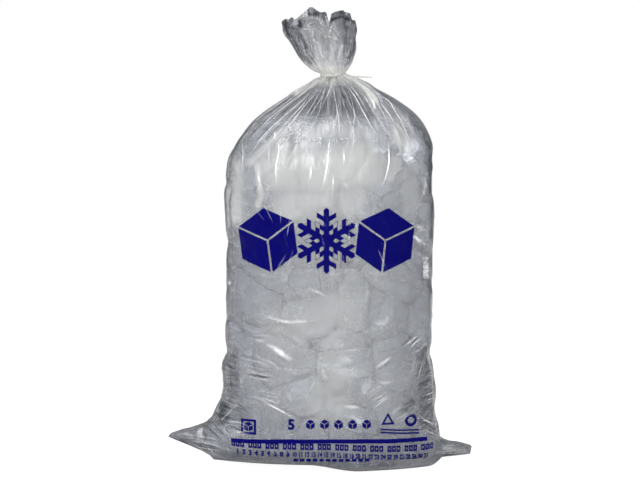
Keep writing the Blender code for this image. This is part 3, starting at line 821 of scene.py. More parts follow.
def add_streaks(folds, dice):
    """The photograph's bright streaks, as folds with painted highlight, each with two fainter ones beside it.
    """
    for pixels, width, height, strength in STREAKS:
        broader, bolder = LOW_STREAKS if pixels[0][1] > PRINT_PIXEL else HIGH_STREAKS
        folds.front(pixels, width * broader, height, min(strength * bolder, 1), taper=0.45)
        for _ in range(ECHOES):
            shift_x, shift_y = dice.uniform(*ECHO_ACROSS), dice.uniform(*ECHO_DOWN)
            beside = [(px + shift_x, py + shift_y) for px, py in pixels]
            narrow = width * dice.uniform(*ECHO_WIDTHS)
            folds.front(beside, narrow, height * ECHO_HEIGHT, strength * dice.uniform(*ECHO_STRENGTHS))


def add_fans(folds, fans, shade, dice):
    """Fans of fine folds, each a little bowed and out of step."""
    for near_a, near_b, far_a, far_b, count, strength in fans:
        for index in range(count):
            share = (index + dice.uniform(*FAN_STEPS)) / max(count - 1, 1)
            near = [a + (b - a) * share for a, b in zip(near_a, near_b)]
            far = [a + (b - a) * share for a, b in zip(far_a, far_b)]
            bow = dice.uniform(*FAN_BOWS)
            middle = ((near[0] + far[0]) / 2, (near[1] + far[1]) / 2 + bow)
            width, strong = dice.uniform(*FAN_WIDTHS), strength * dice.uniform(*FAN_STRENGTHS)
            folds.front([near, middle, far], width, 0.5, strong, shade=shade)


def short_line(px, py, slant, length):
    """Two pixels, this far before and after a pixel along a slant."""
    run, drop = length * math.cos(slant), length * math.sin(slant)
    return [(px - run, py - drop), (px + run, py + drop)]


def add_faint_folds(folds, dice):
    """Short faint folds over the whole front: upright high up, and lying low down."""
    for _ in range(FAINT_FOLDS):
        px, py = dice.uniform(*FAINT_ACROSS), dice.uniform(*FAINT_DOWN)
        slant = math.pi / 2 + dice.gauss(0, 0.3) if py < LYING_BELOW_PIXEL else dice.gauss(0, 0.45)
        line = short_line(px, py, slant, dice.uniform(4, 14))
        folds.front(line, dice.uniform(0.9, 2.2), 0.4, dice.uniform(0.08, 0.3), shade=dice.choice((0, 0, 1)))


def add_mouth_scratches(folds, dice):
    """Short scratches, bright, and dark with painted shade, all over the crushed film above the tie."""
    for _ in range(MOUTH_SCRATCHES):
        px, py = dice.uniform(*SCRATCHES_ACROSS), dice.uniform(*SCRATCHES_DOWN)
        slant = dice.uniform(0, math.pi)
        line = short_line(px, py, slant, dice.uniform(1.5, 5))
        folds.front(line, dice.uniform(0.6, 1.3), 0.3, dice.uniform(0.15, 0.5), shade=dice.choice((0, 1)))


def film_path(film, row, column, steps, climb, turn=0.0, limits=ALL_ROWS):
    """The film's own places from a row and column on, each step so far up and round, in metres."""
    rows = np.clip(row + climb * np.arange(steps), *limits).astype(int)
    columns = (column + turn * np.arange(steps)).astype(int) % COLUMNS
    return [Vector(place * MM) for place in film.points[rows, columns]]


def add_neck_folds(folds, film, dice):
    """Fine folds that run down the shoulder from the tie, all round. Every third one is a crease of painted
    shade.
    """
    neck_row = int(np.argmin(abs(film.levels[:, HEIGHT] - (NECK_HEIGHT - 4))))
    for index in range(NECK_FOLDS):
        column = dice.randrange(COLUMNS)
        steps = dice.randrange(*NECK_FOLD_ROWS)
        path = film_path(film, neck_row, column, steps, -1, dice.uniform(-0.12, 0.12))
        folds.add(path, dice.uniform(0.7, 1.5), 0.5, dice.uniform(0.2, 0.6), 0.5, shade=float(index % 3 == 0))


def add_mouth_folds(folds, film, dice):
    """Upright folds in the crushed film above the tie, all round."""
    first_row = len(film.levels) - 1 - MOUTH_ROWS
    for _ in range(MOUTH_FOLDS):
        column = dice.randrange(COLUMNS)
        steps = dice.randrange(*MOUTH_FOLD_ROWS)
        start = dice.randrange(0, MOUTH_ROWS - steps + 1)
        path = film_path(film, first_row + start, column, steps, 1)
        folds.add(path, dice.uniform(0.7, 1.6), 0.5, dice.uniform(0.1, 0.4), 0.5, shade=dice.choice((0, 1)))


def add_other_folds(folds, film, dice):
    """Folds on the back and the sides, like those of the front."""
    for _ in range(OTHER_FOLDS):
        side = dice.choice(("back", "back", "left", "right"))
        row = dice.randrange(*OTHER_ROWS)
        column = dice.randrange(*OTHER_COLUMNS[side]) % COLUMNS
        high = film.levels[row, HEIGHT] > UPRIGHT_ABOVE
        steps = dice.randrange(*OTHER_FOLD_STEPS)
        climb = dice.uniform(0.6, 1.0) if high else dice.uniform(-0.5, 0.5)
        turn = dice.uniform(-0.15, 0.15) if high else dice.choice((-0.7, 0.7))
        path = film_path(film, row, column, steps, climb, turn, OTHER_ROW_LIMITS)
        width, strength = dice.uniform(0.9, 2.6), dice.uniform(0.15, 0.7)
        folds.add(path, width, 0.7, strength, 0.45, shade=dice.choice((0, 0, 0, 1)))


def make_folds(film_tree, film, material, dice):
    """All the pinched folds: those in the photograph, and others like them round the sides and back."""
    folds = FoldMaker(film_tree)
    add_streaks(folds, dice)
    for pixels, width, height, strength in SHOULDER_FOLDS:
        folds.front(pixels, width * SHOULDER_FINENESS, height, strength * SHOULDER_FINENESS, taper=0.3)
    for pixels, width, strength in CREASES:
        folds.front(pixels, width, 0.4, strength, taper=0.3, shade=1.0)
    add_fans(folds, FANS, 0.0, dice)
    add_fans(folds, DARK_FANS, 1.0, dice)
    add_faint_folds(folds, dice)
    add_mouth_scratches(folds, dice)
    add_neck_folds(folds, film, dice)
    add_mouth_folds(folds, film, dice)
    add_other_folds(folds, film, dice)
    piece = new_piece("film_folds", folds.points, folds.faces, material)
    mark(piece, "strength", folds.strengths)
    mark(piece, "shade", folds.shades)
    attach(piece, "root")


# How far back, in millimetres, the painted places of the front fade out round the sides
FRONT_FADES = (-26, 28)
ABOVE_TIE = NECK_HEIGHT + 4


def painted(film, pixels, width):
    """How much a soft brush, drawn through these pixels and this many pixels wide, covers each film point."""
    x, y, z = (film.points[..., axis] for axis in range(3))
    start = np.array(photo_camera()[0]) / MM
    cos, sin = math.cos(CAMERA_ELEVATION), math.sin(CAMERA_ELEVATION)
    depth = (y - start[1]) * cos - (z - start[2]) * sin
    rise = (z - start[2]) * cos + (y - start[1]) * sin
    px = PHOTO_WIDTH / 2 + FOCAL_LENGTH_PX * x / depth
    py = PHOTO_HEIGHT / 2 - FOCAL_LENGTH_PX * rise / depth
    nearest = np.full(x.shape, 1e9)
    for (ax, ay), (bx, by) in zip(pixels, pixels[1:]):
        length = max((bx - ax) ** 2 + (by - ay) ** 2, 1e-6)
        share = np.clip(((px - ax) * (bx - ax) + (py - ay) * (by - ay)) / length, 0, 1)
        away = np.hypot(px - ax - share * (bx - ax), py - ay - share * (by - ay))
        nearest = np.minimum(nearest, away)
    cover = np.exp(-((nearest / width) ** 3))
    return cover * np.where(z > ABOVE_TIE, 1, 1 - smoothstep(*FRONT_FADES, y))


# Where the film is whitest, partly crushed film and partly painted light and highlights, and where it is
# dark, partly many layers of film and partly painted shade: pixels, width, amount
CRUSHED_AND_PAINTED_LIGHT_BANDS = [
    ([(331, 72), (331, 79)], 8, 0.9),
    ([(330, 68), (322, 54), (318, 42)], 2.2, 0.4),
    ([(331, 68), (333, 50), (334, 34)], 3.2, 0.4),
    ([(333, 68), (339, 56), (342, 46)], 2.2, 0.4),
    ([(326, 70), (314, 60), (308, 50)], 1.6, 0.4),
    ([(322, 40), (328, 52)], 12, 0.1),
    ([(326, 76), (310, 84), (297, 92)], 5.0, 1.0),
    ([(340, 73), (354, 77), (366, 87), (375, 100)], 4.8, 1.0),
    ([(399, 128), (398, 138)], 8, 0.6),
    ([(402, 140), (406, 147)], 8, 0.7),
    ([(291, 25), (297, 23)], 1.8, 0.45),
    ([(307, 19), (313, 17), (319, 19)], 1.4, 0.4),
    ([(310, 30), (322, 34), (334, 32)], 9, 0.25),
    ([(326, 36), (336, 38)], 1.6, 0.6),
    ([(304, 62), (313, 69), (322, 73)], 1.4, 0.7),
    ([(300, 134), (335, 130), (372, 136)], 12, 0.36),
    ([(285, 130), (266, 147), (250, 163)], 5, 0.5),
    ([(285, 168), (325, 172), (360, 165)], 30, 0.62),
    ([(290, 205), (350, 200)], 22, 0.5),
    ([(290, 330), (340, 310), (330, 400)], 34, 0.40),
    ([(232, 165), (232, 215)], 12, 0.6),
    ([(258, 165), (261, 195), (258, 205)], 4, 0.6),
    ([(395, 160), (390, 176)], 7, 0.5),
    ([(410, 172), (412, 205)], 13, 0.35),
    ([(446, 449), (466, 451)], 3.5, 0.4),
    ([(200, 429), (199, 438)], 3.0, 0.3),
]
# Painted shade: under the tie, in the lobes above it, along the outline, down the sides, on the ears and
# along the foot
PAINTED_SHADE_BANDS = [
    ([(306, 108), (330, 104), (368, 110)], 12, 0.62),
    ([(316, 96), (346, 96)], 8, 0.64),
    ([(284, 20), (289, 34), (297, 50), (307, 64)], 4.2, 1.15),
    ([(356, 20), (357, 34), (354, 50), (347, 63)], 2.8, 1.0),
    ([(284, 23), (290, 27)], 4.5, 1.3),
    ([(299, 23), (301, 28)], 3.0, 1.3),
    ([(307, 10), (313, 12), (325, 16)], 5.0, 1.4),
    ([(331, 17), (342, 13), (354, 19)], 6.0, 1.4),
    ([(300, 34), (306, 46), (312, 58)], 3.0, 0.8),
    ([(296, 92), (275, 105), (255, 122), (240, 138), (230, 158)], 2.0, 1.0),
    ([(366, 84), (382, 92), (398, 101), (408, 109), (420, 121), (430, 137), (434, 155)], 2.4, 1.0),
    ([(410, 114), (422, 130), (430, 150), (432, 178)], 5, 0.85),
    ([(228, 172), (236, 146), (252, 126), (272, 110)], 5.0, 0.5),
    ([(432, 160), (433, 200), (432, 330)], 4.0, 0.7),
    ([(436, 418), (444, 434)], 6, 0.9),
    ([(227, 170), (226, 260), (227, 340)], 4.0, 0.75),
    ([(410, 290), (405, 330)], 20, 0.2),
    ([(240, 290), (240, 330)], 16, 0.35),
    ([(228, 346), (223, 356), (223, 390), (216, 404), (212, 418)], 4.0, 1.0),
    ([(232, 352), (234, 372), (232, 394)], 9, 0.75),
    ([(224, 405), (222, 418)], 9, 1.0),
    ([(244, 345), (250, 372), (248, 400)], 18, 0.2),
    ([(240, 412), (245, 430)], 14, 0.6),
    ([(431, 345), (434, 372), (433, 400), (436, 420)], 5, 1.0),
    ([(424, 352), (425, 380), (424, 405)], 9, 0.8),
    ([(404, 350), (404, 400)], 16, 0.2),
    ([(404, 409), (412, 403)], 6, 0.8),
    ([(424, 420), (434, 430)], 8, 0.85),
    ([(180, 437), (205, 448)], 8, 0.6),
    ([(445, 450), (465, 455)], 6, 0.6),
    ([(230, 456), (300, 462), (380, 466), (430, 460)], 7, 0.6),
]


# The film's whiteness, from 0 to 1: crushed at the neck, and elsewhere milky film with painted light, less on
# the front, where it is lightest in the middle, than on the back, where it lies in patches
CRUSHED_NECK, CRUSHED_ABOVE, CRUSHED_BELOW = 0.85, 13, 9
FRONT_MILK_AND_PAINTED_LIGHT, MILKY_MIDDLE, MILKY_REACH = 0.22, 12, 84
MILKY_FRONT_FOOT, MILKY_FRONT_TOP = (20, 70), (300, 332)
MILKY_BACK_SHOULDER, BACK_SHOULDER_HEIGHT, BACK_SHOULDER_REACH = 0.5, 352, 16
BACK_MILK_AND_PAINTED_LIGHT, MILKY_BACK_FROM, BACK_PATCHINESS = 0.32, (-6, 60), 0.6
MILKY_BACK_FOOT, MILKY_BACK_TOP = (20, 100), (285, 345)

# The film's painted shade, from 0 to 1: in its dents, on its sides seen edge on from the front, at the
# shoulder, above the tie where it lies in layers, at its tips and mouth, on its ears and towards its base
DENT_PAINTED_SHADE = 0.12
SIDES_PAINTED_SHADE, SIDES_MIDDLE, SIDES_REACH, SIDES_TOP = 0.16, 10, (62, 96), 330
SHOULDER_PAINTED_SHADE, SHOULDER_FROM = 0.62, (330, 342)
FLARE_PAINTED_SHADE = 0.58
TIPS_PAINTED_SHADE, TIPS_REACH = 0.68, (0.45, 1.0)
MOUTH_PAINTED_SHADE, MOUTH_FROM = 0.8, (424, 436)
EARS_PAINTED_SHADE, EARS_REACH, EARS_TOP = 0.7, (112, 135), 60
BASE_PAINTED_SHADE, BASE_TOP = 0.46, (8, 34)
CRUSHED_HIDES_DARK = 0.9
SHOULDER_STRIPES, STRIPES_FROM, FLARE_STRIPES = 0.55, (318, 340), 0.4
STRIPE_DRIFT_LENGTH, STRIPE_DRIFT = 60, 9


def crushed_film(film, height):
    """Where the film is white: crushed round the neck, and in the photograph's white bands, partly crushed
    film and partly painted light and highlights.
    """
    reach = np.where(height > NECK_HEIGHT, CRUSHED_ABOVE, CRUSHED_BELOW)
    crushed = CRUSHED_NECK * np.exp(-(((height - NECK_HEIGHT) / reach) ** 2))
    for pixels, width, amount in CRUSHED_AND_PAINTED_LIGHT_BANDS:
        crushed = np.maximum(crushed, amount * painted(film, pixels, width))
    return crushed


def milky_film(film, height):
    """How milky the film is that isn't crushed, with painted light: lightest in the middle of the front, and
    in patches on the back.
    """
    across, y = film.points[..., 0], film.points[..., 1]
    white = FRONT_MILK_AND_PAINTED_LIGHT * (1 - smoothstep(*MILKY_FRONT_TOP, height)) * smoothstep(*MILKY_FRONT_FOOT, height)
    white = white * np.exp(-(((across - MILKY_MIDDLE) / MILKY_REACH) ** 4))
    shoulder = np.exp(-(((height - BACK_SHOULDER_HEIGHT) / BACK_SHOULDER_REACH) ** 2))
    white = np.maximum(white, (y > 0) * MILKY_BACK_SHOULDER * shoulder)
    patches = blurred(np.random.default_rng(SEED + 1).uniform(-1, 1, height.shape), 2, 3)
    patches = np.clip(patches / (2.2 * patches.std()), -1, 1)
    broad = smoothstep(*MILKY_BACK_FOOT, height) * (1 - smoothstep(*MILKY_BACK_TOP, height))
    broad = broad * (1 + BACK_PATCHINESS * patches)
    return np.maximum(white, BACK_MILK_AND_PAINTED_LIGHT * broad * smoothstep(*MILKY_BACK_FROM, y))


def fold_stripes(height):
    """Random stripes down the film, from -1 to 1, that drift round the bag towards the neck."""
    stripes = np.random.default_rng(SEED).uniform(-1, 1, (1, COLUMNS))
    ends = (NECK_HEIGHT - STRIPE_DRIFT_LENGTH, NECK_HEIGHT)
    drift = np.interp(height[:, 0], ends, (STRIPE_DRIFT, 0)).astype(int)
    return np.vstack([np.roll(stripes, step, axis=1) for step in drift])


def dark_film(film, height, dents, flare):
    """How dark the film is painted: shade in its dents, on its sides, ears and base, along its outline, and
    where it lies in layers, uneven in stripes down its folds.
    """
    across = film.points[..., 0]
    sides = smoothstep(*SIDES_REACH, abs(across - SIDES_MIDDLE)) * (height < SIDES_TOP)
    dark = DENT_PAINTED_SHADE * dents + SIDES_PAINTED_SHADE * sides
    for pixels, width, amount in PAINTED_SHADE_BANDS:
        dark = np.maximum(dark, amount * painted(film, pixels, width))
    for amount, place in (
        (SHOULDER_PAINTED_SHADE, smoothstep(*SHOULDER_FROM, height) * (height < NECK_HEIGHT)),
        (FLARE_PAINTED_SHADE, flare),
        (TIPS_PAINTED_SHADE, flare * smoothstep(*TIPS_REACH, abs(np.cos(film.angles)))[None, :]),
        (MOUTH_PAINTED_SHADE, flare * smoothstep(*MOUTH_FROM, height)),
        (EARS_PAINTED_SHADE, smoothstep(*EARS_REACH, abs(across)) * (height < EARS_TOP)),
        (BASE_PAINTED_SHADE, 1 - smoothstep(*BASE_TOP, height)),
    ):
        dark = np.maximum(dark, amount * place)
    unevenness = SHOULDER_STRIPES * smoothstep(*STRIPES_FROM, height) - FLARE_STRIPES * flare
    return np.clip(dark * (1 + unevenness * fold_stripes(height)), 0, 1)


def make_film(film, flare, ice, material):
    """The film, drawn over the ice, with how white it is, from crushing and painted light, and how dark, from
    layers and painted shade, at each point.
    """
    dents = settle_on_ice(film, search_tree(ice))
    piece = new_piece("bag_film_skin", film.points.reshape(-1, 3), film.faces(), material)
    height = film.column(HEIGHT) * np.ones((1, COLUMNS))
    crushed = crushed_film(film, height)
    mark(piece, "white", np.maximum(milky_film(film, height), crushed))
    mark(piece, "dark", dark_film(film, height, dents, flare) * (1 - CRUSHED_HIDES_DARK * crushed))
    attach(piece, "root")
    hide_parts("bag_film")
    return piece


class Nodes:
    """A short way to add nodes to a tree and join them."""

    def __init__(self, tree):
        self.tree = tree
        tree.nodes.clear()

    def add(self, kind, settings=None, **inputs):
        """A node with these settings, and each input either joined to an output or set to a value."""
        node = self.tree.nodes.new(kind)
        for name, value in (settings or {}).items():
            setattr(node, name, value)
        for name, value in inputs.items():
            socket = self.socket(node, name)
            if isinstance(value, bpy.types.NodeSocket):
                self.tree.links.new(value, socket)
            else:
                socket.default_value = value
        return node

    @staticmethod
    def socket(node, name):
        """An input by its name with underscores for spaces, or by its number after an n."""
        if name[0] == "n" and name[1:].isdigit():
            return node.inputs[int(name[1:])]
        return node.inputs[name.replace("_", " ")]

    def group(self, tree, **inputs):
        """The outputs of a node group that is placed here with its own values."""
        return self.add("ShaderNodeGroup", {"node_tree": tree}, **inputs).outputs

    def math(self, operation, *numbers, clamp=False):
        """One to three numbers, worked out together."""
        inputs = {f"n{index}": number for index, number in enumerate(numbers)}
        return self.add("ShaderNodeMath", {"operation": operation, "use_clamp": clamp}, **inputs).outputs[0]

    def ramp(self, value, low, high, to_low=0.0, to_high=1.0):
        """The value brought from one range to another."""
        ends = {"From_Min": low, "From_Max": high, "To_Min": to_low, "To_Max": to_high}
        return self.add("ShaderNodeMapRange", Value=value, **ends).outputs["Result"]

    def mix(self, share, first, second):
        """The first colour, with this share of the second in it."""
        return self.add("ShaderNodeMix", {"data_type": "RGBA"}, n0=share, n6=first, n7=second).outputs[2]

    def attribute(self, name):
        """A value that is marked on the piece's points."""
        return self.add("ShaderNodeAttribute", {"attribute_name": name}).outputs["Fac"]

    def place(self):
        """The place on the piece, in its own metres."""
        return self.add("ShaderNodeTexCoord").outputs["Object"]

    def unless_shadow(self, cover, in_shadow):
        """The cover as it is to all rays but shadow rays, which see this share of it."""
        shadow = self.add("ShaderNodeLightPath").outputs["Is Shadow Ray"]
        return self.math("MULTIPLY", cover, self.ramp(shadow, 0, 1, 1.0, in_shadow), clamp=True)

    def finish(self, shader, **others):
        """The material's output."""
        self.add("ShaderNodeOutputMaterial", Surface=shader.outputs[0], **others)


def new_group(name, inputs, outputs):
    """An empty shader node group with these named number inputs and outputs, and the place as an input."""
    tree = bpy.data.node_groups.new(name, "ShaderNodeTree")
    tree.interface.new_socket("Place", in_out="INPUT", socket_type="NodeSocketVector")
    for title, value in inputs.items():
        socket = tree.interface.new_socket(title, in_out="INPUT", socket_type="NodeSocketFloat")
        socket.default_value = value
    for title in outputs:
        tree.interface.new_socket(title, in_out="OUTPUT", socket_type="NodeSocketFloat")
    return tree


def crinkle_group():
    """Fine crinkles of thin film: long soft creases crossed by short sharp ones."""
    tree = new_group("Crinkles", {"Size": 60.0, "Stretch": 0.4, "Sharpness": 0.5}, ["Height", "Lines"])
    nodes = Nodes(tree)
    given = nodes.add("NodeGroupInput").outputs
    squeeze = nodes.add("ShaderNodeCombineXYZ", X=1.0, Y=1.0, Z=given["Stretch"]).outputs[0]
    place = nodes.add("ShaderNodeVectorMath", {"operation": "MULTIPLY"}, n0=given["Place"], n1=squeeze)
    spread = {"Vector": place.outputs[0], "Scale": given["Size"]}
    soft = nodes.add("ShaderNodeTexNoise", Detail=3.0, Roughness=0.55, **spread).outputs[0]
    bent = nodes.add("ShaderNodeTexNoise", Detail=2.0, Distortion=1.2, **spread).outputs[0]
    ridge = nodes.math("ABSOLUTE", nodes.math("SUBTRACT", bent, 0.5))
    ridge = nodes.ramp(ridge, 0.0, 0.12, 1.0, 0.0)
    height = nodes.math("MULTIPLY_ADD", ridge, given["Sharpness"], soft)
    nodes.add("NodeGroupOutput", Height=height, Lines=ridge)
    return tree


def frosting_group():
    """Cloudy patches, for frost on the ice and for the breath of damp inside the film."""
    tree = new_group("Frosting", {"Size": 30.0, "Low": 0.35, "High": 0.7}, ["Mask"])
    nodes = Nodes(tree)
    given = nodes.add("NodeGroupInput").outputs
    spread = {"Vector": given["Place"], "Scale": given["Size"]}
    wide = nodes.add("ShaderNodeTexNoise", Detail=5.0, Roughness=0.6, **spread).outputs[0]
    nodes.add("NodeGroupOutput", Mask=nodes.ramp(wide, given["Low"], given["High"]))
    return tree


def new_material(name):
    """A material without nodes yet, and a way to add them."""
    material = bpy.data.materials.new(name)
    material.use_nodes = True
    return material, Nodes(material.node_tree)


# The colours of the film: clear; crushed, also used as painted light; of its threads of light; and of painted
# shade where it lies in layers and where it is seen edge on
CLEAR_FILM, CRUSHED_FILM_AND_PAINTED_LIGHT = (0.125, 0.13, 0.15, 1), (0.42, 0.42, 0.39, 1)
FILM_THREADS = (0.6, 0.6, 0.62, 1)
LAYERED_FILM_PAINTED_SHADE, EDGE_ON_PAINTED_SHADE = (0.012, 0.014, 0.017, 1), (0.035, 0.038, 0.042, 1)
# The folds' colours: faint, whitened partly as stress-whitened film and partly as painted highlight, and the
# creases' painted shade
FAINT_FOLD, WHITENED_FOLD_AND_HIGHLIGHT, CREASE_PAINTED_SHADE = (0.5, 0.5, 0.52, 1), (0.92, 0.92, 0.90, 1), (0.02, 0.022, 0.028, 1)
FILM_CRINKLES = {"Size": 42.0, "Stretch": 0.45, "Sharpness": 0.35}

# The colours of the ice, the nylon and the ink
CLEAR_ICE, FROSTED_ICE, ICE_DEPTH = (0.90, 0.93, 0.97, 1), (0.995, 0.995, 0.995, 1), (0.80, 0.86, 0.92, 1)
DULL_NYLON, MILKY_NYLON = (0.40, 0.40, 0.37, 1), (0.48, 0.48, 0.44, 1)
DEEP_NAVY, THIN_NAVY = (0.0006, 0.0004, 0.05, 1), (0.0008, 0.0006, 0.072, 1)


def film_material(crinkles, frosting):
    """Clear film that hides more of the ice where it is crushed, layered, damp or seen edge on, coloured with
    painted light where it is white and painted shade where it is dark or seen edge on.
    """
    material, nodes = new_material("clear polythene film with painted light and shade")
    place = nodes.place()
    white, dark = nodes.attribute("white"), nodes.attribute("dark")
    coarse = nodes.group(crinkles, Place=place, **FILM_CRINKLES)
    fine = nodes.group(crinkles, Place=place, Size=150.0, Stretch=0.6, Sharpness=0.3)
    damp = nodes.group(frosting, Place=place, Size=24.0, Low=0.36, High=0.72)["Mask"]
    patches = nodes.group(frosting, Place=place, Size=170.0, Low=0.36, High=0.64)["Mask"]
    height = nodes.math("MULTIPLY_ADD", fine["Height"], 0.3, coarse["Height"])
    bump = nodes.add("ShaderNodeBump", Strength=0.55, Distance=0.0018, Height=height)
    facing = nodes.add("ShaderNodeLayerWeight", Blend=0.35).outputs["Facing"]
    edge = nodes.ramp(facing, 0.36, 0.74)
    veil = nodes.math("MULTIPLY_ADD", damp, 0.10, 0.50)
    veil = nodes.math("ADD", veil, nodes.math("MULTIPLY", white, 0.22))
    veil = nodes.math("ADD", veil, nodes.math("MULTIPLY", dark, 0.30))
    veil = nodes.math("MAXIMUM", veil, nodes.math("MULTIPLY", nodes.math("MULTIPLY", dark, dark), 0.98))
    veil = nodes.math("MAXIMUM", veil, nodes.math("MULTIPLY", edge, 0.92), clamp=True)
    # Whiter where crushed, and painted light where the white mask holds lighter patches and highlights
    tone = nodes.mix(white, CLEAR_FILM, CRUSHED_FILM_AND_PAINTED_LIGHT)
    threads = nodes.math("MULTIPLY", nodes.math("MULTIPLY", fine["Lines"], dark), 0.14)
    tone = nodes.mix(threads, tone, FILM_THREADS)
    # Painted shade: near black where the dark mask is, and darker where the film is seen edge on
    layers = nodes.math("MULTIPLY", dark, nodes.ramp(patches, 0, 1, 0.5, 1.15), clamp=True)
    tone = nodes.mix(layers, tone, LAYERED_FILM_PAINTED_SHADE)
    tone = nodes.mix(nodes.math("MULTIPLY", edge, 0.85), tone, EDGE_ON_PAINTED_SHADE)
    rough = nodes.ramp(damp, 0, 1, 0.10, 0.26)
    nodes.finish(nodes.add(
        "ShaderNodeBsdfPrincipled", Base_Color=tone, Roughness=rough, IOR=1.45,
        Alpha=nodes.unless_shadow(veil, 0.35), Normal=bump.outputs[0],
    ))
    return material


def fold_material(frosting):
    """The folds, whitest and least see-through where they are strong, partly stress-whitened film and partly
    painted highlight, with creases of painted shade among them.
    """
    material, nodes = new_material("pinched film with painted highlight and shade")
    strength = nodes.attribute("strength")
    broken = nodes.group(frosting, Place=nodes.place(), Size=210.0, Low=0.30, High=0.56)["Mask"]
    cover = nodes.math("MULTIPLY", strength, nodes.ramp(broken, 0, 1, 0.45, 1.0))
    tone = nodes.mix(strength, FAINT_FOLD, WHITENED_FOLD_AND_HIGHLIGHT)
    tone = nodes.mix(nodes.attribute("shade"), tone, CREASE_PAINTED_SHADE)
    rough = nodes.ramp(strength, 0, 1, 0.6, 0.28)
    nodes.finish(nodes.add(
        "ShaderNodeBsdfPrincipled", Base_Color=tone, Roughness=rough, IOR=1.5,
        Alpha=nodes.unless_shadow(cover, 0.3),
    ))
    return material


def ice_material(crinkles, frosting):
    """See-through ice, cloudy in patches and frosted along the chunks' edges."""
    material, nodes = new_material("cloudy ice")
    place = nodes.place()
    cloud = nodes.group(frosting, Place=place, Size=38.0, Low=0.35, High=0.68)["Mask"]
    grain = nodes.group(crinkles, Place=place, Size=95.0, Stretch=1.0, Sharpness=0.5)["Height"]
    bump = nodes.add("ShaderNodeBump", Strength=0.5, Distance=0.0016, Height=grain)
    frost = nodes.math("MAXIMUM", cloud, nodes.attribute("edge"), clamp=True)
    tone = nodes.mix(frost, CLEAR_ICE, FROSTED_ICE)
    rough = nodes.ramp(frost, 0, 1, 0.06, 0.34)
    depth = nodes.add("ShaderNodeVolumeAbsorption", Color=ICE_DEPTH, Density=3.0)
    nodes.finish(nodes.add(
        "ShaderNodeBsdfPrincipled", Base_Color=tone, Roughness=rough, IOR=1.31,
        Transmission_Weight=0.90, Normal=bump.outputs[0],
    ), Volume=depth.outputs[0])
    return material


def nylon_material(frosting):
    """Natural nylon, a little see-through and unevenly milky."""
    material, nodes = new_material("natural nylon")
    cloud = nodes.group(frosting, Place=nodes.place(), Size=400.0, Low=0.3, High=0.7)["Mask"]
    tone = nodes.mix(cloud, DULL_NYLON, MILKY_NYLON)
    rough = nodes.ramp(cloud, 0, 1, 0.32, 0.46)
    nodes.finish(nodes.add(
        "ShaderNodeBsdfPrincipled", Base_Color=tone, Roughness=rough, Transmission_Weight=0.25,
    ))
    return material


def ink_material(crinkles, frosting):
    """Navy ink that takes the film's crinkles and is laid on a little unevenly."""
    material, nodes = new_material("navy film ink")
    place = nodes.place()
    patch = nodes.group(frosting, Place=place, Size=260.0, Low=0.3, High=0.75)["Mask"]
    coarse = nodes.group(crinkles, Place=place, **FILM_CRINKLES)["Height"]
    bump = nodes.add("ShaderNodeBump", Strength=0.4, Distance=0.0015, Height=coarse)
    tone = nodes.mix(patch, DEEP_NAVY, THIN_NAVY)
    rough = nodes.ramp(patch, 0, 1, 0.28, 0.38)
    nodes.finish(nodes.add(
        "ShaderNodeBsdfPrincipled", Base_Color=tone, Roughness=rough, IOR=1.12, Normal=bump.outputs[0],
    ))
    return material


# The print, in millimetres on the flat front: x from the middle and height above the floor
INK_LIFT = 0.35
INK_SPACING, EDGE_CLEARANCE = 2.2, 0.45
NUMERAL_SCALE, NUMERAL_BOLDNESS = 1.4, 0.055
BADGE_HEIGHT = 220.5
BADGE_SIZE = 31.5
CUBE_PLACES = ((-49, 0.13), (61, -0.10))
FLAKE_X, FLAKE_SHARE = 6, 0.98
EMBLEM_PLACE = (-67.5, 43.6)
FRAME_SIZE, FRAME_LINE, EMBLEM_CUBE = 10.2, 3.0, 5.2
WEIGHT_NUMBER, WEIGHT_PLACE, WEIGHT_SIZE = "5", (-27, 42.6), 9.6
SMALL_CUBES, SMALL_CUBE, SMALL_CUBE_START, SMALL_CUBE_STEP = 5, 5.0, (-9, 47.6), 13.2
CLEAR_LINES, SMALL_CLEAR_LINES = 0.93, 0.84
TRIANGLE_PLACE, TRIANGLE_SIZE, TRIANGLE_LINE = (64, 50.0), 7.4, 3.4
RING_PLACE, RING_SIZE, RING_LINE, RING_SIDES = (86.2, 48.8), 5.8, 2.6, 24
UNDERLINE_DROPS = (0, 2.9)
UNDERLINE = [(57, 41.4), (94, 38.0), (94, 39.4), (57, 42.8)]
LINE_HEIGHT, HALF_LINE = 31.7, 1.9
LINE_BOW, LINE_MIDDLE, LINE_REACH = 2.4, 10, 90
LINE_START, LINE_LENGTH, LINE_STEPS = -84.5, 187.0, 12
ROW_PLACES = (-85, 8, 105)
GROUPS, GROUP_START, GROUP_STEP, GROUP_HEIGHTS = 12, -84, 16.4, (26.9, 26.4, 21.2)
GROUP_BLOCKS, BLOCK_STEP, BLOCK_WIDTH, HALF_BLOCK = 3, 4.3, 3.6, 2.9
HOLE_LEFT, HOLE_RIGHT, HOLE_LOW, HOLE_HIGH = 1.2, 2.4, -1.2, 1.3
DATE_NUMBERS, DATE_START, DATE_STEP, DATE_HEIGHTS = 31, -78, 5.98, (21.6, 21.0, 15.2)
DATE_SIZE, ONE_DIGIT_SLIMNESS, TWO_DIGIT_SLIMNESS = 4.6, 0.95, 0.72
DASHES, DASH_START, DASH_STEP, DASH_LENGTH, DASH_HEIGHTS = 12, -25, 6.1, 4.3, (12.2, 14.8)


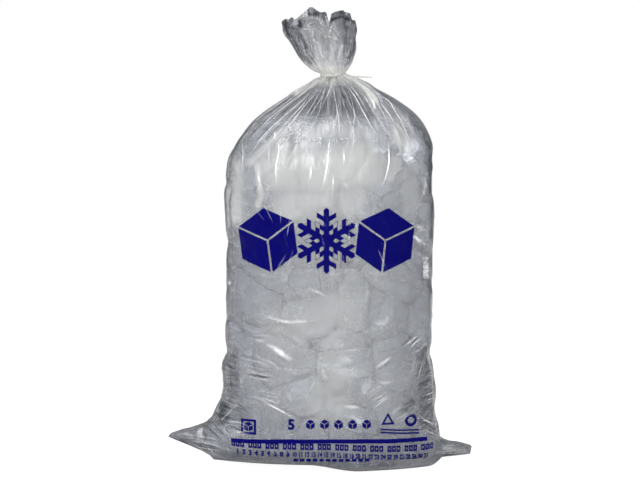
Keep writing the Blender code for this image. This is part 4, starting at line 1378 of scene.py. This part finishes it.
class InkMaker:
    """Flat shapes laid on the front of the film as thin ink."""

    def __init__(self, tree):
        self.tree = tree
        self.points = []
        self.faces = []

    def on_film(self, x, z):
        """A place just off the film, straight behind this place on the flat print."""
        in_front = Vector((x * MM, -2 * HALF_FLAT * MM, z * MM))
        spot, normal, _, _ = self.tree.ray_cast(in_front, Vector((0, 1, 0)))
        if normal.y > 0:
            normal = -normal
        return (spot + normal * INK_LIFT * MM) / MM

    def lay(self, points, faces):
        """Flat points and faces of the print, laid on the film."""
        start = len(self.points)
        self.points += [self.on_film(x, z) for x, z in points]
        self.faces += [tuple(start + index for index in face) for face in faces]

    def fill(self, outline, holes=()):
        """One shape with a closed outline, cut fine enough to follow the film."""
        loops = [fine_loop(outline), *[fine_loop(hole) for hole in holes]]
        points, edges = [], []
        for loop in loops:
            start = len(points)
            points += loop
            edges += [(start + index, start + (index + 1) % len(loop)) for index in range(len(loop))]
        xs, zs = zip(*outline)
        for x in np.arange(min(xs) + INK_SPACING / 2, max(xs), INK_SPACING):
            for z in np.arange(min(zs) + INK_SPACING / 2, max(zs), INK_SPACING):
                if inside(loops, x, z) and clear_of_edges(loops, x, z):
                    points.append((x, z))
        made = delaunay_2d_cdt([Vector(point) for point in points], edges, [], 1, 1e-5)
        vertices, triangles = made[0], made[2]
        keep = []
        for triangle in triangles:
            middle = sum((vertices[index] for index in triangle), Vector((0, 0))) / len(triangle)
            if inside(loops, *middle):
                keep.append(triangle)
        self.lay([tuple(vertex) for vertex in vertices], keep)


def fine_loop(outline):
    """The outline with extra points, none further apart than the ink's spacing."""
    points = []
    for (ax, az), (bx, bz) in zip(outline, outline[1:] + outline[:1]):
        steps = max(math.ceil(math.hypot(bx - ax, bz - az) / INK_SPACING), 1)
        points += [(ax + (bx - ax) * step / steps, az + (bz - az) * step / steps) for step in range(steps)]
    return points


def inside(loops, x, z):
    """Whether the place is inside an odd number of the loops."""
    crossings = 0
    for loop in loops:
        for (ax, az), (bx, bz) in zip(loop, loop[1:] + loop[:1]):
            if (az > z) != (bz > z) and x < ax + (bx - ax) * (z - az) / (bz - az):
                crossings += 1
    return crossings % 2 == 1


def clear_of_edges(loops, x, z):
    """Whether the place is well away from all the loops' points."""
    clearance = EDGE_CLEARANCE * INK_SPACING
    return all(math.hypot(px - x, pz - z) > clearance for loop in loops for px, pz in loop)


def turned(points, x, z, angle=0.0):
    """These points turned and moved to (x, z)."""
    cos, sin = math.cos(angle), math.sin(angle)
    return [(x + px * cos - pz * sin, z + px * sin + pz * cos) for px, pz in points]


def bar(x_low, x_high, z_low, z_high):
    """A rectangle's outline."""
    return [(x_low, z_low), (x_high, z_low), (x_high, z_high), (x_low, z_high)]


def cube_faces(size, gap):
    """The three visible faces of a block of ice drawn in outline, with clear lines between them."""
    ways = [math.radians(60 * step) for step in range(6)]
    corners = [(size * math.sin(way), size * math.cos(way)) for way in ways]
    faces = []
    for first, middle, last in ((5, 0, 1), (1, 2, 3), (3, 4, 5)):
        face = [(0, 0), corners[first], corners[middle], corners[last]]
        centre = [sum(axis) / 4 for axis in zip(*face)]
        faces.append([tuple(c + (p - c) * gap for p, c in zip(point, centre)) for point in face])
    return faces


# The snowflake's sizes as shares of its reach. Each branch has its root and its length
HALF_ARM, HALF_BRANCH = 0.085, 0.075
ARM_START, ARM_TAPER = 0.20, 0.93
BRANCHES = ((0.36, 0.30), (0.66, 0.24))


def snowflake(size):
    """A six-armed snowflake with two pairs of branches on each arm."""
    arm, branch = HALF_ARM * size, HALF_BRANCH * size
    sixth = math.radians(60)
    half = [(arm, ARM_START * size)]
    for root, length in BRANCHES:
        base, reach = root * size, length * size
        out, rise = arm + reach * math.sin(sixth), reach * math.cos(sixth)
        half += [(arm, base - branch), (out, base - branch + rise)]
        half += [(out, base + branch + rise), (arm, base + branch)]
    half.append((arm, ARM_TAPER * size))
    one_arm = half + [(0, size)] + [(-x, z) for x, z in reversed(half)]
    outline = []
    for step in range(6):
        outline += turned(one_arm, 0, 0, angle=math.radians(60 * step))
    return outline


def ring_shape(size, sides, thickness, start=90):
    """An even-sided ring as an outline and its hole."""
    ways = [math.radians(start + 360 * side / sides) for side in range(sides)]
    outer = [(size * math.cos(way), size * math.sin(way)) for way in ways]
    inner = [((size - thickness) * math.cos(way), (size - thickness) * math.sin(way)) for way in ways]
    return outer, inner


def number_shapes(text, x, z, height):
    """Plain numerals of this height as points and faces, with their middle at x and their foot at z."""
    curve = bpy.data.curves.new("numerals", "FONT")
    curve.body = text
    curve.size = height * NUMERAL_SCALE
    curve.align_x = "CENTER"
    curve.resolution_u = 3
    curve.offset = height * NUMERAL_BOLDNESS
    writer = bpy.data.objects.new("numerals", curve)
    bpy.context.scene.collection.objects.link(writer)
    bpy.context.view_layer.update()
    shape = bpy.data.meshes.new_from_object(writer.evaluated_get(bpy.context.evaluated_depsgraph_get()))
    points = [(x + vert.co.x, z + vert.co.y) for vert in shape.vertices]
    faces = [tuple(face.vertices) for face in shape.polygons]
    bpy.data.objects.remove(writer)
    bpy.data.meshes.remove(shape)
    return points, faces


def draw_cube(ink, place, size, clear_lines, lean=0.0):
    """A block of ice at this place: three filled faces with clear lines between them."""
    for face in cube_faces(size, clear_lines):
        ink.fill(turned(face, *place, lean))


def draw_ring(ink, place, size, sides, line, start=90):
    """An even-sided ring at this place."""
    outer, inner = ring_shape(size, sides, line, start)
    ink.fill(turned(outer, *place), [turned(inner, *place)])


def draw_badge(ink):
    """The large picture in the middle: a snowflake between two blocks of ice."""
    for x, lean in CUBE_PLACES:
        draw_cube(ink, (x, BADGE_HEIGHT), BADGE_SIZE, CLEAR_LINES, lean)
    ink.fill(turned(snowflake(BADGE_SIZE * FLAKE_SHARE), FLAKE_X, BADGE_HEIGHT))


def draw_line(ink):
    """The long line under the marks, bowed down at its ends."""
    across = [LINE_START + step * LINE_LENGTH / LINE_STEPS for step in range(LINE_STEPS + 1)]
    line = [(x, LINE_HEIGHT - LINE_BOW * ((x - LINE_MIDDLE) / LINE_REACH) ** 2) for x in across]
    ink.fill([(x, z - HALF_LINE) for x, z in line] + [(x, z + HALF_LINE) for x, z in reversed(line)])


def draw_marks(ink):
    """The row of marks: a framed cube, the weight's number, small cubes, a triangle, a ring and two lines."""
    draw_ring(ink, EMBLEM_PLACE, FRAME_SIZE, 4, FRAME_LINE, 45)
    draw_cube(ink, EMBLEM_PLACE, EMBLEM_CUBE, SMALL_CLEAR_LINES)
    ink.lay(*number_shapes(WEIGHT_NUMBER, *WEIGHT_PLACE, WEIGHT_SIZE))
    start_x, start_z = SMALL_CUBE_START
    for index in range(SMALL_CUBES):
        draw_cube(ink, (start_x + index * SMALL_CUBE_STEP, start_z), SMALL_CUBE, SMALL_CLEAR_LINES)
    draw_ring(ink, TRIANGLE_PLACE, TRIANGLE_SIZE, 3, TRIANGLE_LINE)
    draw_ring(ink, RING_PLACE, RING_SIZE, RING_SIDES, RING_LINE)
    for drop in UNDERLINE_DROPS:
        ink.fill([(x, z - drop) for x, z in UNDERLINE])


def draw_blocks(ink):
    """The first row under the line: groups of small plain blocks, each block with a hole."""
    for index in range(GROUPS):
        for block in range(GROUP_BLOCKS):
            low = GROUP_START + index * GROUP_STEP + block * BLOCK_STEP
            z = np.interp(low, ROW_PLACES, GROUP_HEIGHTS)
            hole = bar(low + HOLE_LEFT, low + HOLE_RIGHT, z + HOLE_LOW, z + HOLE_HIGH)
            ink.fill(bar(low, low + BLOCK_WIDTH, z - HALF_BLOCK, z + HALF_BLOCK), [hole])


def draw_dates(ink):
    """The second row: the days' numbers, flipped top to bottom, because the film's base folds under."""
    for number in range(1, DATE_NUMBERS + 1):
        x = DATE_START + (number - 1) * DATE_STEP
        points, faces = number_shapes(str(number), 0, 0, DATE_SIZE)
        slimness = ONE_DIGIT_SLIMNESS if number < 10 else TWO_DIGIT_SLIMNESS
        z = np.interp(x, ROW_PLACES, DATE_HEIGHTS)
        ink.lay([(x + px * slimness, z - pz) for px, pz in points], faces)


def draw_dashes(ink):
    """The last row, of short dashes."""
    for index in range(DASHES):
        low = DASH_START + index * DASH_STEP
        ink.fill(bar(low, low + DASH_LENGTH, *DASH_HEIGHTS))


def make_ink(film_tree, material):
    """All the print, as one piece of ink."""
    ink = InkMaker(film_tree)
    draw_badge(ink)
    draw_line(ink)
    draw_marks(ink)
    draw_blocks(ink)
    draw_dates(ink)
    draw_dashes(ink)
    piece = new_piece("printed_ink", ink.points, ink.faces, material)
    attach(piece, "root")


# The tie's own sizes, in millimetres
TIE_RADIUS = 12.35
TIE_THICKNESS = 1.1
TIE_WIDTH = 2.6
TIE_HEIGHT = NECK_HEIGHT + 1
TIE_HEAD_WIDTH, TIE_HEAD_DEPTH, TIE_HEAD_HEIGHT = 4.6, 3.8, 5.0
TIE_HEAD_OVERLAP = 0.3
TIE_HEAD_Y = TIE_RADIUS + TIE_HEAD_DEPTH / 2 - TIE_HEAD_OVERLAP
TIE_HEAD_ENDS = ((0, 0.8), (0.08, 1), (0.92, 1), (1, 0.8))
TIE_TAIL_END = 51
TIE_TAIL_BACK, TIE_TAIL_DROP = 2, 0.8
TIE_TIP_SHARE = 0.35
TIE_RING_STEPS, TIE_TAIL_STEPS = 64, 14
STRAP_SECTION = [(-1, -0.4), (-0.8, -1), (0.8, -1), (1, -0.4), (1, 0.4), (0.8, 1), (-0.8, 1), (-1, 0.4)]


def strap(places, across, flat, widths, thicknesses, closed):
    """A strap with eight-cornered sections, rounded off at its edges, along places."""
    points, faces = [], []
    for place, side, out, width, thickness in zip(places, across, flat, widths, thicknesses):
        for wide, thick in STRAP_SECTION:
            points.append(place + side * wide * width / 2 + out * thick * thickness / 2)
    count = len(STRAP_SECTION)
    for index in range(len(places) if closed else len(places) - 1):
        low, high = index * count, (index + 1) % len(places) * count
        for corner in range(count):
            after = (corner + 1) % count
            faces.append((low + corner, low + after, high + after, high + corner))
    if not closed:
        faces += [tuple(range(count))[::-1], tuple(range(len(points) - count, len(points)))]
    return points, faces


def tie_ring(up):
    """The strap round the neck."""
    middle = Vector((NECK_X, 0, TIE_HEIGHT))
    turns = np.linspace(0, 2 * math.pi, TIE_RING_STEPS, endpoint=False)
    ways = [Vector((math.cos(turn), math.sin(turn), 0)) for turn in turns]
    ring = [middle + way * TIE_RADIUS for way in ways]
    count = TIE_RING_STEPS
    return strap(ring, [up] * count, ways, [TIE_WIDTH] * count, [TIE_THICKNESS] * count, True)


def tie_head(up, right, back):
    """The head at the back, a small upright block with rounded ends."""
    foot = Vector((NECK_X, TIE_HEAD_Y, TIE_HEIGHT - TIE_HEAD_HEIGHT / 2))
    places = [foot + up * TIE_HEAD_HEIGHT * share for share, size in TIE_HEAD_ENDS]
    widths = [TIE_HEAD_WIDTH * size for share, size in TIE_HEAD_ENDS]
    depths = [TIE_HEAD_DEPTH * size for share, size in TIE_HEAD_ENDS]
    count = len(TIE_HEAD_ENDS)
    return strap(places, [right] * count, [back] * count, widths, depths, False)


def tie_tail(up, back):
    """The loose end, which runs out to the right and thins towards its tip."""
    shares = np.linspace(0, 1, TIE_TAIL_STEPS)
    places = []
    for share in shares:
        x = NECK_X + (TIE_TAIL_END - NECK_X) * share
        places.append(Vector((x, TIE_HEAD_Y - TIE_TAIL_BACK * share, TIE_HEIGHT - TIE_TAIL_DROP * share**2)))
    sizes = [1 - (1 - TIE_TIP_SHARE) * share for share in shares]
    widths, thicknesses = [TIE_WIDTH * size for size in sizes], [TIE_THICKNESS * size for size in sizes]
    return strap(places, [up] * TIE_TAIL_STEPS, [back] * TIE_TAIL_STEPS, widths, thicknesses, False)


def make_tie(material):
    """The nylon tie: its ring, its head and its tail in one piece."""
    right, back, up = Vector((1, 0, 0)), Vector((0, 1, 0)), Vector((0, 0, 1))
    points, faces = [], []
    for more, cut in (tie_ring(up), tie_head(up, right, back), tie_tail(up, back)):
        faces += [tuple(len(points) + index for index in face) for face in cut]
        points += more
    piece = new_piece("neck_tie_strap", [tuple(point) for point in points], faces, material, smooth=False)
    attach(piece, "root")
    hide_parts("neck_tie")


# The floor and the studio's walls of light: the floor's reach in metres, and how light each looks
FLOOR_REACH, FLOOR_HEIGHT = 6, -0.0004
FLOOR_PAINT, FLOOR_IN_GLOSS = (0.8, 0.8, 0.8, 1), (0.4, 0.4, 0.4, 1)
FLOOR_GLOW, FLOOR_GLOW_SHARE = 1.12, 0.86
STUDIO_WALLS, STUDIO_BACKDROP = (0.93, 0.96, 1.0, 1), (1, 1, 1, 1)
WALLS_FROM_LOW_TO_HIGH, WALL_LIGHT = (0.05, 0.75), (0.12, 0.85)


def make_stage():
    """A pale floor that is white to the camera, and the soft surroundings of a studio."""
    floor_mesh = bpy.data.meshes.new("studio_floor")
    square = bar(-FLOOR_REACH, FLOOR_REACH, -FLOOR_REACH, FLOOR_REACH)
    floor_mesh.from_pydata([(x, y, FLOOR_HEIGHT) for x, y in square], [], [(0, 1, 2, 3)])
    floor = bpy.data.objects.new("studio_floor", floor_mesh)
    bpy.context.scene.collection.objects.link(floor)
    material, nodes = new_material("pale floor")
    rays = nodes.add("ShaderNodeLightPath").outputs
    tone = nodes.mix(rays["Is Glossy Ray"], FLOOR_PAINT, FLOOR_IN_GLOSS)
    paint = nodes.add("ShaderNodeBsdfDiffuse", Color=tone)
    glow = nodes.add("ShaderNodeEmission", Color=(1, 1, 1, 1), Strength=FLOOR_GLOW)
    share = nodes.math("MULTIPLY", rays["Is Camera Ray"], FLOOR_GLOW_SHARE)
    nodes.finish(nodes.add("ShaderNodeMixShader", n0=share, n1=paint.outputs[0], n2=glow.outputs[0]))
    floor_mesh.materials.append(material)
    world = bpy.data.worlds.new("studio")
    bpy.context.scene.world = world
    world.use_nodes = True
    nodes = Nodes(world.node_tree)
    seen = nodes.add("ShaderNodeLightPath").outputs["Is Camera Ray"]
    way = nodes.add("ShaderNodeTexCoord").outputs["Generated"]
    rise = nodes.add("ShaderNodeSeparateXYZ", Vector=way).outputs["Z"]
    strength = nodes.ramp(rise, *WALLS_FROM_LOW_TO_HIGH, *WALL_LIGHT)
    dim = nodes.add("ShaderNodeBackground", Color=STUDIO_WALLS, Strength=strength)
    bright = nodes.add("ShaderNodeBackground", Color=STUDIO_BACKDROP, Strength=1.0)
    both = nodes.add("ShaderNodeMixShader", n0=seen, n1=dim.outputs[0], n2=bright.outputs[0])
    nodes.add("ShaderNodeOutputWorld", Surface=both.outputs[0])


# Soft boxes: name, place, width, height, power, and whether they show as glints in what is glossy
SOFTBOXES = [
    ("key_softbox", (-0.5, -1.3, 1.5), 1.1, 0.9, 36, True),
    ("front_softbox", (0.3, -1.5, 0.4), 1.2, 0.9, 10, False),
    ("right_softbox", (1.3, -1.0, 0.7), 0.5, 1.3, 9, False),
    ("left_softbox", (-1.3, -0.7, 0.5), 0.35, 1.3, 12, False),
    ("back_softbox", (0.2, 1.5, 1.0), 1.3, 1.1, 37, False),
    ("back_left_softbox", (-1.3, 0.7, 0.5), 0.5, 1.3, 9, False),
    ("back_right_softbox", (1.3, 0.8, 0.5), 0.5, 1.3, 8, False),
]
SOFTBOX_AIM = Vector((0, 0, 0.22))


def make_light(name, place, width, height, power, glints):
    """A soft box that is turned to the middle of the bag."""
    light = bpy.data.lights.new(name, "AREA")
    light.shape = "RECTANGLE"
    light.size, light.size_y = width, height
    light.energy = power
    lamp = bpy.data.objects.new(name, light)
    lamp.location = place
    lamp.rotation_euler = (SOFTBOX_AIM - Vector(place)).to_track_quat("-Z", "Y").to_euler()
    lamp.visible_camera = False
    lamp.visible_glossy = glints
    bpy.context.scene.collection.objects.link(lamp)


def make_camera():
    """The camera, where the photograph's stands."""
    camera = bpy.data.objects.new("camera", bpy.data.cameras.new("camera"))
    place, forward = photo_camera()
    camera.location = place
    camera.rotation_euler = forward.to_track_quat("-Z", "Y").to_euler()
    camera.data.sensor_width = SENSOR_WIDTH
    camera.data.lens = FOCAL_LENGTH_PX * SENSOR_WIDTH / PHOTO_WIDTH
    bpy.context.scene.collection.objects.link(camera)
    bpy.context.scene.camera = camera


def make_look():
    """Plain colours, and enough light bounces for film over ice."""
    scene = bpy.context.scene
    scene.view_settings.view_transform = "Standard"
    scene.cycles.transparent_max_bounces = 40
    scene.cycles.max_bounces = 14
    scene.cycles.transmission_bounces = 12


def main():
    """The bag, its ice, its print and its tie, and then the studio round them."""
    dice = random.Random(SEED)
    crinkles, frosting = crinkle_group(), frosting_group()
    film = FilmGrid()
    wrinkle_walls(film, dice)
    flare = crush_flare(film)
    gather_at_neck(film, dice)
    ice = make_ice(film.tree(), ice_material(crinkles, frosting))
    skin = make_film(film, flare, ice, film_material(crinkles, frosting))
    film_tree = search_tree([skin])
    make_folds(film_tree, film, fold_material(frosting), dice)
    make_ink(film_tree, ink_material(crinkles, frosting))
    make_tie(nylon_material(frosting))
    make_stage()
    for softbox in SOFTBOXES:
        make_light(*softbox)
    make_camera()
    make_look()
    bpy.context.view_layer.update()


main()
